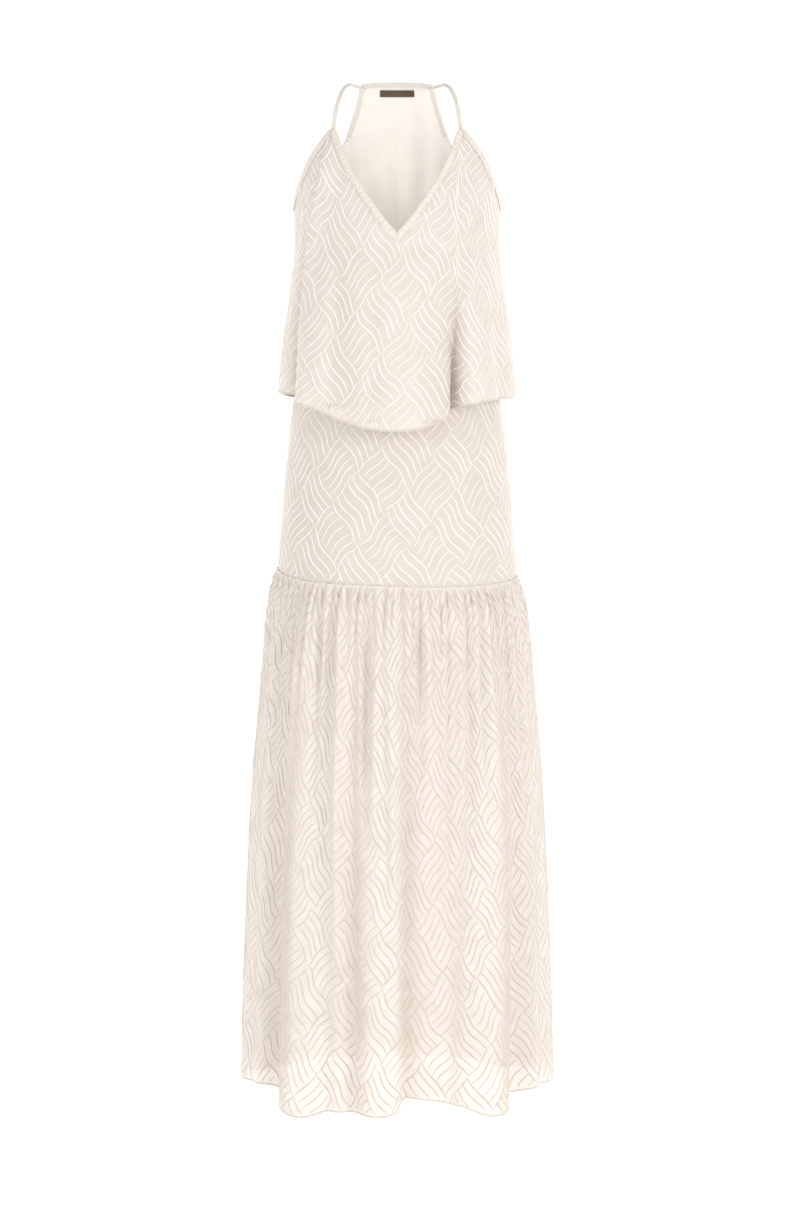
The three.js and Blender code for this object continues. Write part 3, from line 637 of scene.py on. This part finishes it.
for name, start, end, columns in (
    ("front", -SIDE_COLUMN, SIDE_COLUMN, 120),
    ("back_right", SIDE_COLUMN, BACK_COLUMN, 80),
    ("back_left", BACK_COLUMN, 3 * SIDE_COLUMN, 80),
):
    angle, z = bodice_places(start, end, columns, 60, waist)
    cloth = Cloth(under_bodice, start * COLUMN_ANGLE, end * COLUMN_ANGLE, REFERENCE_Z["lining"])
    piece = wall(f"lining_{name}_cloth", under_bodice(angle, z), cloth.uv(angle, z), CLOTH_WALL)
    panels["lining_" + name] = place(piece, LINING, "lining", "lining_" + name)

# %% [markdown]
# ## Yoke, skirt and slip
# These hang straight, so an even grid of angles and heights does. The two halves of the skirt meet at the
# side seams, and each column of points runs from the hip seam to the wavy hem.


# %% Lower panels
def hanging_places(start, columns, shares, top, bottom):
    """A grid over half the dress, from start degrees on: rows at their shares of the way down."""
    angle = np.linspace(start, start + 180, columns)[:, None]
    return np.broadcast_arrays(angle, mix(top(angle), bottom(angle), np.asarray(shares)[None, :]))


SLIP_TURN_UP = 10  # the slip's seam lies this far above the hip seam, inside the yoke


def slip_top(angle):
    return hip_seam(angle) + SLIP_TURN_UP


for side, start in HALVES:
    angle, z = hanging_places(start, 130, np.linspace(0, 1, 50), waist, hip_seam)
    cloth = Cloth(body, start, start + 180, REFERENCE_Z["yoke"])
    cloths["yoke_" + side] = cloth
    piece = wall(f"yoke_{side}_cloth", body(angle, z), cloth.uv(angle, z), CLOTH_WALL)
    panels["yoke_" + side] = place(piece, LINED, "organza_lined", "yoke_" + side)

    shares = np.linspace(0, 1, 84) ** 1.35
    angle, z = hanging_places(start, 313, shares, hip_seam, skirt_hem)
    cloth = Cloth(skirt, start, start + 180, REFERENCE_Z["skirt"])
    cloths["skirt_" + side] = cloth
    piece = wall(f"skirt_{side}_cloth", skirt(angle, z), cloth.uv(angle, z), CLOTH_WALL)
    # Painted shade in the skirt's folds and between its gathers, kept on the mesh for its fabric.
    mark_fold_shade(piece, skirt_fold_shade(angle, z))
    panels["skirt_" + side] = place(piece, ORGANZA, "organza", "skirt_" + side)

    angle, z = hanging_places(start, 161, np.linspace(0, 1, 60), slip_top, slip_hem)
    cloth = Cloth(slip, start, start + 180, REFERENCE_Z["skirt"])
    piece = wall(f"slip_{side}_cloth", slip(angle, z), cloth.uv(angle, z), CLOTH_WALL)
    # The slip takes the same painted shade.
    mark_fold_shade(piece, skirt_fold_shade(angle, z))
    panels["slip_" + side] = place(piece, LIT_SLIP_LINING, "lining", "slip_" + side)

# %% [markdown]
# ## The raised wavy lines
# The organza is woven with groups of raised, wavy lines, laid like a basket weave: a group that runs down
# to the right crosses one that runs up to the right. An image or a bump would flatten in a close view, so
# each line is a slim three-sided tube on the cloth. The layout is a slanted lattice of uneven cells,
# worked out on the flat cloth; the lines are then carried onto the surface, so they crowd together in the
# gathers as real ones do.

# %% Lattice of wavy lines
DOWN_ANGLE, UP_ANGLE = math.radians(57), math.radians(50)
DOWN_WAY = np.array([math.cos(DOWN_ANGLE), -math.sin(DOWN_ANGLE)])
UP_WAY = np.array([math.cos(UP_ANGLE), math.sin(UP_ANGLE)])
DOWN_CELLS, UP_CELLS = (70, 54), (58, 44)  # cell lengths along each way, by turns
DOWN_LINES, UP_LINES = (7, 6), (6, 5)  # lines in a cell of each width
LINE_STATIONS = 15  # points along each line
LINE_HALF, LINE_HEIGHT = 0.92, 0.62  # half the width of a line, and its height
LINE_JITTER = 0.3  # how far a line may stray, in steps from one line to the next
LINE_SINK = 0.1  # a line's foot lies this deep in the cloth
DOWN_OVERRUN, UP_OVERRUN = 1.5, -0.5  # how far a line runs past its cell's ends
SIDE_SPARE = 20  # pattern beyond each side of the cloth
WAVE_PERIOD, WAVE_SIZE = 56, 2.6


def hashed(*numbers):
    """A repeatable number from 0 to 1 for each set of whole numbers."""
    mixed = sum(number * factor for number, factor in zip(numbers, (12.9898, 78.233, 37.719)))
    return np.modf(np.abs(np.sin(mixed) * 43758.5453))[0]


def wavy_lines(width, low, high):
    """Lines over a flat cloth, as u and v of each station, with each line's half width and height."""
    corners = np.array([[0, low], [0, high], [width, low], [width, high]])
    corners = corners @ np.linalg.inv(np.stack([DOWN_WAY, UP_WAY]))
    pair = np.array([sum(DOWN_CELLS), sum(UP_CELLS)])
    first = np.floor(corners.min(axis=0) / pair).astype(int)
    last = np.ceil(corners.max(axis=0) / pair).astype(int)
    along = np.linspace(0, 1, LINE_STATIONS)[None, :]
    found, sizes = [], []
    for di in (0, 1):
        for dj in (0, 1):
            i, j = (a.ravel() for a in np.meshgrid(*map(np.arange, first, last), indexing="ij"))
            s0, t0 = i * pair[0] + di * DOWN_CELLS[0], j * pair[1] + dj * UP_CELLS[0]
            down = di == dj
            count = UP_LINES[dj] if down else DOWN_LINES[di]
            i, j, s0, t0 = (np.repeat(a, count) for a in (i, j, s0, t0))
            k = np.tile(np.arange(count), len(i) // count)
            cell = 2 * i + di, 2 * j + dj
            jitter = np.where((k > 0) & (k < count - 1), LINE_JITTER * (hashed(*cell, k) - 0.5), 0)
            across = mix(0.02, 0.98, (k + jitter) / (count - 1))
            way, other = (DOWN_WAY, UP_WAY) if down else (UP_WAY, DOWN_WAY)
            length, breadth = (DOWN_CELLS[di], UP_CELLS[dj]) if down else (UP_CELLS[dj], DOWN_CELLS[di])
            over = DOWN_OVERRUN if down else UP_OVERRUN
            begin = s0[:, None] * DOWN_WAY + t0[:, None] * UP_WAY
            begin = begin + (across * breadth)[:, None] * other - over * way
            run = (length + 2 * over) * along
            phase = math.tau * hashed(*cell, 5) + 0.1 * k
            size = WAVE_SIZE * (0.6 + 0.6 * hashed(*cell, 9)) * (0.92 + 0.16 * hashed(*cell, k + 20))
            wave = size[:, None] * np.sin(math.tau * run / WAVE_PERIOD + phase[:, None])
            sideways = np.array([-way[1], way[0]])
            found.append(begin[:, None, :] + run[..., None] * way + wave[..., None] * sideways)
            thick = (1.0 if down else 0.78) * (0.88 + 0.24 * hashed(*cell, k + 40))
            sizes.append(np.stack([LINE_HALF * thick, LINE_HEIGHT * thick], axis=-1))
    return np.concatenate(found), np.concatenate(sizes)


def lay_lines(name, cloth, low, high, inside, material, slot, shift, heavier, gathered):
    """Carries the lines onto a cloth: each is cut to its part inside the panel, and given its profile
    there. gathered is the share of cloth that the gathers take up at the top; it falls to none at the
    foot, so the lines fan out."""
    uv, sizes = wavy_lines((1 + gathered) * cloth.round[-1] + 2 * SIDE_SPARE, low, high)
    taken_up = 1 + gathered * np.clip((uv[..., 1] - low) / (high - low), 0, 1)
    middle = cloth.round[-1] / 2
    uv[..., 0] = middle + (uv[..., 0] + shift - SIDE_SPARE - (1 + gathered) * middle) / taken_up
    on_cloth = (uv[..., 0] > 1) & (uv[..., 0] < cloth.round[-1] - 1)
    within = on_cloth & inside(cloth.angle(uv[..., 0]), uv[..., 1])
    first = np.argmax(within, axis=1)
    last = LINE_STATIONS - 1 - np.argmax(within[:, ::-1], axis=1)
    keep = within.any(axis=1) & (last - first > 1)
    uv, sizes, first, last = uv[keep], sizes[keep], first[keep], last[keep]
    at = first[:, None] + (last - first)[:, None] * np.linspace(0, 1, LINE_STATIONS)[None, :]
    lower = np.clip(np.floor(at).astype(int), 0, LINE_STATIONS - 2)
    rows = np.arange(len(uv))[:, None]
    uv = mix(uv[rows, lower], uv[rows, lower + 1], (at - lower)[..., None])
    angle, z = cloth.angle(uv[..., 0]), uv[..., 1]
    centre = cloth.surface(angle, z)
    out = normals_of(cloth.surface, angle, z)
    across = unit(np.cross(np.gradient(centre, axis=1), out))
    way = np.linspace(0, 1, LINE_STATIONS)
    taper = np.minimum(1, 0.35 + 4 * np.minimum(way, way[::-1]))
    half, height = (heavier * sizes[:, k, None, None] * taper[None, :, None] for k in (0, 1))
    foot = centre - LINE_SINK * out
    rings = np.stack([foot - half * across, centre + height * out, foot + half * across], axis=2)
    marks = np.stack([uv, uv + 0.5, uv + 1], axis=2)
    piece = strands(name, rings, marks)
    print(name, "has", len(uv), "lines")
    return place(piece, material, slot)


BINDING_COVER, POPOVER_HEM_COVER, SKIRT_HEM_COVER = 7, 2, 3  # the lines end this far inside the edges


def in_popover(angle, z):
    edge = read(TOP_EDGE, "angle", "z", np.abs(wrap(angle)))
    return (z < edge - BINDING_COVER) & (z > popover_hem(angle) + POPOVER_HEM_COVER)


def in_yoke(angle, z):
    return (z < WAIST_Z - 4) & (z > hip_seam(angle) + 1)


def in_skirt(angle, z):
    return (z < hip_seam(angle) - 1) & (z > skirt_hem(angle) + SKIRT_HEM_COVER)


for side, shift in (("front", 0), ("back", 37)):
    for layer, low, high, inside, material, slot, heavier, gathered in (
        ("popover", -480, 10, in_popover, RIDGE, "organza", 1.0, 0.0),
        ("yoke", -700, -400, in_yoke, RIDGE, "organza_lined", 1.0, 0.0),
        ("skirt", -1425, -660, in_skirt, SHADED_RIDGE, "organza", 1.3, 0.6),
    ):
        panel = f"{layer}_{side}"
        lay_lines(
            f"{panel}_lines", cloths[panel], low, high, inside, material, slot, shift, heavier, gathered
        )

# %% [markdown]
# ## Bindings and casing
# The neck and armholes are bound with a folded bias strip: it shows as a narrow band, with a row of
# stitches near its inner edge and small puckers where the curve pulls it. The profile is a U over both
# layers, given as distance in from the edge and height over the cloth. It is carried along the edge and
# mitred at the strap points.

# %% Folded bindings
SIDES = (("left", -1), ("right", 1))
BINDING_PROFILE = [  # in from the edge, over the popover's face
    (8.0, 0.5), (7.6, 0.9), (6.9, 0.9), (6.2, 0.45), (5.5, 0.95), (3.8, 1.1), (1.8, 1.1), (0.2, 0.8),
    (-0.8, 0.2), (-1.2, -1.0), (-1.0, -2.6), (-0.1, -3.3), (2.0, -3.4), (4.2, -3.3), (5.0, -3.1),
    (5.0, -2.75), (3.4, -2.8), (0.6, -2.7), (0.2, -0.5), (0.6, 0.3), (4.0, 0.35),
]
EDGE_WANDER = 0.35  # how far the band's inner edge strays from its line
END_GAP = 0.15  # two bands stand this far back from their shared end
STITCH_INWARD = 6.2  # the stitches' hollow in that profile


def in_from_edge(column, distance, slide):
    """The angle and height reached by going into the cloth from the edge: the bisector's way, as long as a
    mitre's."""
    def at(c):
        return popover(*top_edge(c))

    before, after = unit(at(column) - at(column - 1)), unit(at(column + 1) - at(column))
    angle, z = top_edge(column)
    round_it = popover(angle + 0.5, z) - popover(angle - 0.5, z)
    down = popover(angle, z - 0.5) - popover(angle, z + 0.5)
    along = before + after
    way = unit(np.cross(along, unit(np.cross(down, round_it))))
    way = way * (2 * distance / np.linalg.norm(along, axis=-1))[..., None]
    way = way + np.maximum(slide, 0)[..., None] * after + np.minimum(slide, 0)[..., None] * before
    rr, rd, dd = ((a * b).sum(-1) for a, b in ((round_it, round_it), (round_it, down), (down, down)))
    wr, wd = (way * round_it).sum(-1), (way * down).sum(-1)
    scale = rr * dd - rd * rd
    return angle + (wr * dd - wd * rd) / scale, z - (wd * rr - wr * rd) / scale


def binding(name, side, start, end, pucker, pitch, node):
    """The profile carried along the top edge between two columns, on the side that the sign gives."""
    column = np.linspace(start, end, int((end - start) * 8) + 1)[:, None]
    inward = np.array([p[0] for p in BINDING_PROFILE])[None, :]
    lift = np.array([p[1] for p in BINDING_PROFILE])[None, :]
    edge = popover(*top_edge(column[:, 0]))
    run = run_along(edge)[:, None]
    ripple = np.sin(math.tau * run / pitch + 2 * np.sin(run / 17))
    puckered = np.abs(inward - 4.5) < 4  # the band's two faces, but not its folds
    lift = lift + pucker * ripple * np.sign(lift) * puckered
    inward = inward + EDGE_WANDER * np.sin(run / 9.0) * (inward > 5)
    inward, lift = np.broadcast_arrays(inward, lift)
    slide = np.broadcast_to(END_GAP * ((column == start) * 1.0 - (column == end) * 1.0), inward.shape)
    angle, z = in_from_edge(np.broadcast_to(column, inward.shape), inward, slide)
    rings = raised(popover, side * angle, z, lift)
    around = run_along(np.array(BINDING_PROFILE))
    uv = np.stack(np.broadcast_arrays(run, around[None, :]), axis=-1)
    slot = "lining" if node == "nape_casing" else "binding"
    return place(strands(name, rings[None], uv), BINDING, slot, node)


for edge, start, end in (("neck", 0, STRAP_COLUMN), ("armhole", STRAP_COLUMN, NAPE_COLUMN)):
    for side, sign in SIDES:
        binding(f"{edge}_band_{side}", sign, start, end, 0.55, 7.5, f"{edge}_binding_{side}")
binding("nape_band", 1, NAPE_COLUMN, 2 * BACK_COLUMN - NAPE_COLUMN, 0.6, 5.2, "nape_casing")

# %% [markdown]
# ## Straps and label
# Each strap is a narrow tube of bias cloth, turned right side out and pressed. Its profile is a flat oval
# with a seam hollow on the inner side, carried along the path over the shoulder. The label is a woven
# strip, left bare, and bows a little between its sewn ends.

# %% Straps
STRAP_WIDTH, STRAP_THICK = 5.5, 1.8
STRAP_PATH = np.array([
    (87.4, -67.2, -71), (84, -56, -43), (79, -39, -21), (72.5, -19, -6.5), (65, 1, -0.9), (58, 26, -1.2),
    (50.8, 51.4, -1.5),
])


def smooth_path(stops, count):
    """Points along a curve through the stops: on each axis, Hermite pieces with the neighbours' slope at
    each stop."""
    length = run_along(stops)
    slope = np.gradient(stops, length, axis=0)
    at = np.linspace(0, length[-1], count)
    i = np.clip(np.searchsorted(length, at, side="right") - 1, 0, len(stops) - 2)
    span = (length[i + 1] - length[i])[:, None]
    s = ((at - length[i])[:, None]) / span
    ends = stops[i] * (1 + 2 * s) * (1 - s) ** 2 + stops[i + 1] * s * s * (3 - 2 * s)
    return ends + span * (slope[i] * s * (1 - s) ** 2 + slope[i + 1] * s * s * (s - 1)), at


def strap(name, side, node):
    centre, run = smooth_path(STRAP_PATH * np.array([side, 1, 1]), 90)
    along = unit(np.gradient(centre, axis=0))
    across = unit(np.array([1.0, 0, 0]) - along[:, :1] * along)
    out = unit(np.cross(across, along) * side) * side
    out = np.where(out[:, 2:] < 0, -out, out)
    twist = side * math.radians(62) * smooth((run / run[-1] - 0.5) / 0.3)[:, None]
    across, out = np.cos(twist) * across + np.sin(twist) * out, np.cos(twist) * out - np.sin(twist) * across
    turn = np.linspace(0, math.tau, 14, endpoint=False)
    half = STRAP_WIDTH / 2 * (1 + 0.05 * np.sin(run / 4.3) + 0.03 * np.sin(run / 1.9))
    thick = STRAP_THICK / 2
    hollow = 1 - 0.35 * np.exp(-((np.minimum(np.abs(turn - 1.5 * math.pi), 9) / 0.5) ** 2))
    wide = half[:, None] * np.sign(np.cos(turn)) * np.abs(np.cos(turn)) ** 0.8
    high = thick * np.sin(turn) * hollow
    rings = centre[:, None] - thick * out[:, None] + wide[..., None] * across[:, None]
    rings = rings + high[None, :, None] * out[:, None]
    uv = np.stack(np.broadcast_arrays(run[:, None], 1.0 * np.arange(14)[None, :]), axis=-1)
    return place(strands(name, rings[None], uv), BINDING, "binding", node)


for side, sign in SIDES:
    strap(f"strap_tube_{side}", sign, f"strap_{side}")

# %% Label
LABEL_WIDTH, LABEL_TOP_Z, LABEL_DEPTH = 49, -4.8, 9
LABEL_GAP, LABEL_BOW = 0.75, 0.35  # how far it stands off the lining, and how much more in its middle
LABEL_WALL = 0.5
MM_PER_DEGREE = 2.2  # along the back neck
half_angle = math.degrees(LABEL_WIDTH / 2 / read(BODY, "z", "half", LABEL_TOP_Z))
angle = np.linspace(180 - half_angle, 180 + half_angle, 60)[:, None]
z = np.linspace(LABEL_TOP_Z, LABEL_TOP_Z - LABEL_DEPTH, 16)[None, :]
angle, z = np.broadcast_arrays(angle, z)
lift = -(CLOTH_WALL + LABEL_GAP) - LABEL_BOW * np.cos(np.radians((angle - 180) / half_angle * 90)) ** 0.5
label_uv = np.stack([(angle - 180) * MM_PER_DEGREE, z], axis=-1)
label = wall("label_strip", raised(body, angle, z, lift), label_uv, LABEL_WALL)
place(label, LABEL, "label", "label")

# %% [markdown]
# ## Hems and stitches
# A narrow rolled hem finishes organza, because it frays: the edge is turned twice and stitched, and shows
# as a slightly thicker line. It is a small flat oval carried along the edge. Stitches are short bent
# threads, a few faces each, set out along a seam by their pitch.


# %% Rolled hems
HEM_HALF = 1.3  # from the edge to the roll's middle
HEM_TALL, HEM_THICK = 1.35, 1.1  # the oval's half height, and its full thickness
HEM_SINK = 0.2  # the roll's middle lies this far inside the cloth's face


def rolled_hem(name, surface, edge, start, count, slot):
    """A flat oval, taller than it is thick, along the bottom edge of half the dress."""
    angle = np.linspace(start, start + 180, count)
    z = edge(angle) + HEM_HALF
    centre, out = surface(angle, z), normals_of(surface, angle, z)
    along = unit(np.gradient(centre, axis=0))
    up = unit(np.cross(along, out))
    up = np.where(up[:, 2:] < 0, -up, up)
    turn = np.linspace(0, math.tau, 8, endpoint=False)
    run = run_along(centre)
    tall = HEM_TALL * (1 + 0.12 * np.sin(run / 3.1) + 0.08 * np.sin(run / 1.3))
    rings = centre[:, None] - HEM_SINK * out[:, None]
    rings = rings + tall[:, None, None] * np.cos(turn)[None, :, None] * up[:, None]
    rings = rings + HEM_THICK / 2 * np.sin(turn)[None, :, None] * out[:, None]
    uv = np.stack(np.broadcast_arrays(run[:, None], 1.0 * np.arange(8)[None, :]), axis=-1)
    # The roll takes the raised line's darker copy, with its painted shade.
    return place(strands(name, rings[None], uv), SHADED_RIDGE, slot)


for layer, surface, edge, count, slot in (
    ("popover", popover, popover_hem, 361, "organza"),
    ("skirt", skirt, skirt_hem, 541, "organza"),
    ("slip", slip, slip_hem, 361, "lining"),
):
    for half, start in HALVES:
        rolled_hem(f"{layer}_{half}_hem", surface, edge, start, count, slot)


# %% Stitches
STITCH_PITCH, STITCH_LENGTH, STITCH_RADIUS = 3.2, 2.3, 0.34
STITCH_LIFT = 0.75  # of the path over the popover's face


def stitch_row(name, path, out):
    """Threads along a path: three rings of four corners each, the middle ring raised."""
    run = run_along(path)
    begin = np.arange(STITCH_PITCH / 2, run[-1] - STITCH_LENGTH, STITCH_PITCH)
    at = begin[:, None] + np.array([0, 0.5, 1])[None, :] * STITCH_LENGTH
    centre = np.stack([np.interp(at, run, path[:, k]) for k in range(3)], axis=-1)
    up = unit(np.stack([np.interp(at, run, out[:, k]) for k in range(3)], axis=-1))
    across = unit(np.cross(np.gradient(centre, axis=1), up))
    centre = centre + np.array([-0.1, 0.22, -0.1])[None, :, None] * up
    turn = np.linspace(0, math.tau, 4, endpoint=False)
    sideways = np.cos(turn)[None, None, :, None] * across[:, :, None]
    upwards = np.sin(turn)[None, None, :, None] * up[:, :, None]
    rings = centre[:, :, None] + STITCH_RADIUS * (sideways + upwards)
    uv = np.stack(np.broadcast_arrays(at[..., None], np.arange(4.0)[None, None, :]), axis=-1)
    print(name, "has", len(begin), "stitches")
    place(strands(name, rings, uv), THREAD, "binding")


def band_stitches(name, side, start, end):
    column = np.linspace(start, end, int((end - start) * 8) + 1)
    angle, z = in_from_edge(column, np.full(column.shape, STITCH_INWARD), np.zeros(column.shape))
    path = raised(popover, side * angle, z, STITCH_LIFT + 0 * z)
    stitch_row(name, path, normals_of(popover, side * angle, z))


for edge, start, end in (("neck", 0.6, 11.6), ("armhole", 12.4, 35.6)):
    for side, sign in SIDES:
        band_stitches(f"{edge}_stitches_{side}", sign, start, end)
band_stitches("nape_stitches", 1, 36.2, 43.8)

# %% [markdown]
# ## Declaring the cloth
# A sheet's flat size is what the cutter laid out before sewing. Gathered cloth is wider than where it
# hangs.

# %% [markdown]
# ## Floor, light and camera
# The photograph is high-key: an even white surround and soft light. So the world is white, and a pale
# floor lies below. Three soft lights in front shape the folds, two behind shine through the sheer cloth,
# and a small one lights the back lining. The camera stands far off and a little above the middle of the
# dress, with a long lens.

# %% Floor
FLOOR_Z = -1.70
floor_mesh = bpy.data.meshes.new("floor")
corners = [(-9, -9, FLOOR_Z), (9, -9, FLOOR_Z), (9, 30, FLOOR_Z), (-9, 30, FLOOR_Z)]
floor_mesh.from_pydata(corners, [], [(0, 1, 2, 3)])
floor = add_object("floor", floor_mesh)
paint = bpy.data.materials.new("pale_floor")
paint.use_nodes = True
paint_nodes, connect = paint.node_tree.nodes, paint.node_tree.links.new
board = paint_nodes["Principled BSDF"]
grain = paint_nodes.new("ShaderNodeTexNoise")
grain.inputs["Scale"].default_value = 3
tint = paint_nodes.new("ShaderNodeMapRange")
tint.inputs["To Min"].default_value = 0.96
tint.inputs["To Max"].default_value = 0.98
where = paint_nodes.new("ShaderNodeTexCoord")
connect(where.outputs["Object"], grain.inputs["Vector"])
connect(grain.outputs["Fac"], tint.inputs["Value"])
connect(tint.outputs["Result"], board.inputs["Base Color"])
board.inputs["Roughness"].default_value = 0.9
board.inputs["Emission Color"].default_value = (1, 1, 1, 1)
board.inputs["Emission Strength"].default_value = 0.24
floor_mesh.materials.append(paint)

# %% Light
world = bpy.data.worlds.new("studio")
bpy.context.scene.world = world
world.use_nodes = True
surround = world.node_tree.nodes["Background"]
seen = world.node_tree.nodes.new("ShaderNodeLightPath")
level = world.node_tree.nodes.new("ShaderNodeMapRange")
level.inputs["To Min"].default_value = 0.80  # what lights the dress
level.inputs["To Max"].default_value = 1.1  # what is seen behind it
world.node_tree.links.new(seen.outputs["Is Camera Ray"], level.inputs["Value"])
world.node_tree.links.new(level.outputs["Result"], surround.inputs["Strength"])
surround.inputs["Color"].default_value = (1, 1, 1, 1)
bpy.context.scene.view_settings.view_transform = "Standard"


def soft_light(name, place_at, aim_at, size, power):
    """A square area light that faces a point."""
    data = bpy.data.lights.new(name, "AREA")
    data.size, data.energy = size, power
    light = add_object(name, data)
    light.location = place_at
    light.rotation_euler = (Vector(aim_at) - Vector(place_at)).to_track_quat("-Z", "Y").to_euler()


soft_light("key", (3.1, -2.6, 0.2), (0, 0, -0.7), 1.4, 84)
soft_light("fill", (-2.9, -2.4, 0.0), (0, 0, -0.8), 1.8, 54)
soft_light("low", (0.4, -4.0, -0.9), (0, 0, -0.4), 1.4, 11)
soft_light("back_right", (3.0, 3.4, 0.7), (0, 0, -0.7), 1.6, 64)
soft_light("back_left", (-3.0, 3.4, 0.3), (0, 0, -0.7), 1.6, 54)
soft_light("inside", (0, -0.055, -0.33), (0, 0.1, -0.20), 0.11, 0.17)

# %% Camera
CAMERA_DISTANCE, CAMERA_RISE = 4.5, math.radians(5.4)
CAMERA_AIM = np.array([0.004, 0, -0.720])
PHOTO_ROWS, PIXEL_SIZE = 1207, 1.4 * MM  # a pixel of the photograph, at the aim
SENSOR = 36
camera_data = bpy.data.cameras.new("camera")
camera_data.sensor_width = SENSOR
camera_data.lens = SENSOR * CAMERA_DISTANCE / (PHOTO_ROWS * PIXEL_SIZE)
camera = add_object("camera", camera_data)
towards = np.array([0, -math.cos(CAMERA_RISE), math.sin(CAMERA_RISE)])
camera.location = CAMERA_AIM + CAMERA_DISTANCE * towards
camera.rotation_euler = (math.pi / 2 - CAMERA_RISE, 0, 0)
bpy.context.scene.camera = camera
print("lens", round(camera_data.lens, 1), "mm")

bpy.context.view_layer.update()
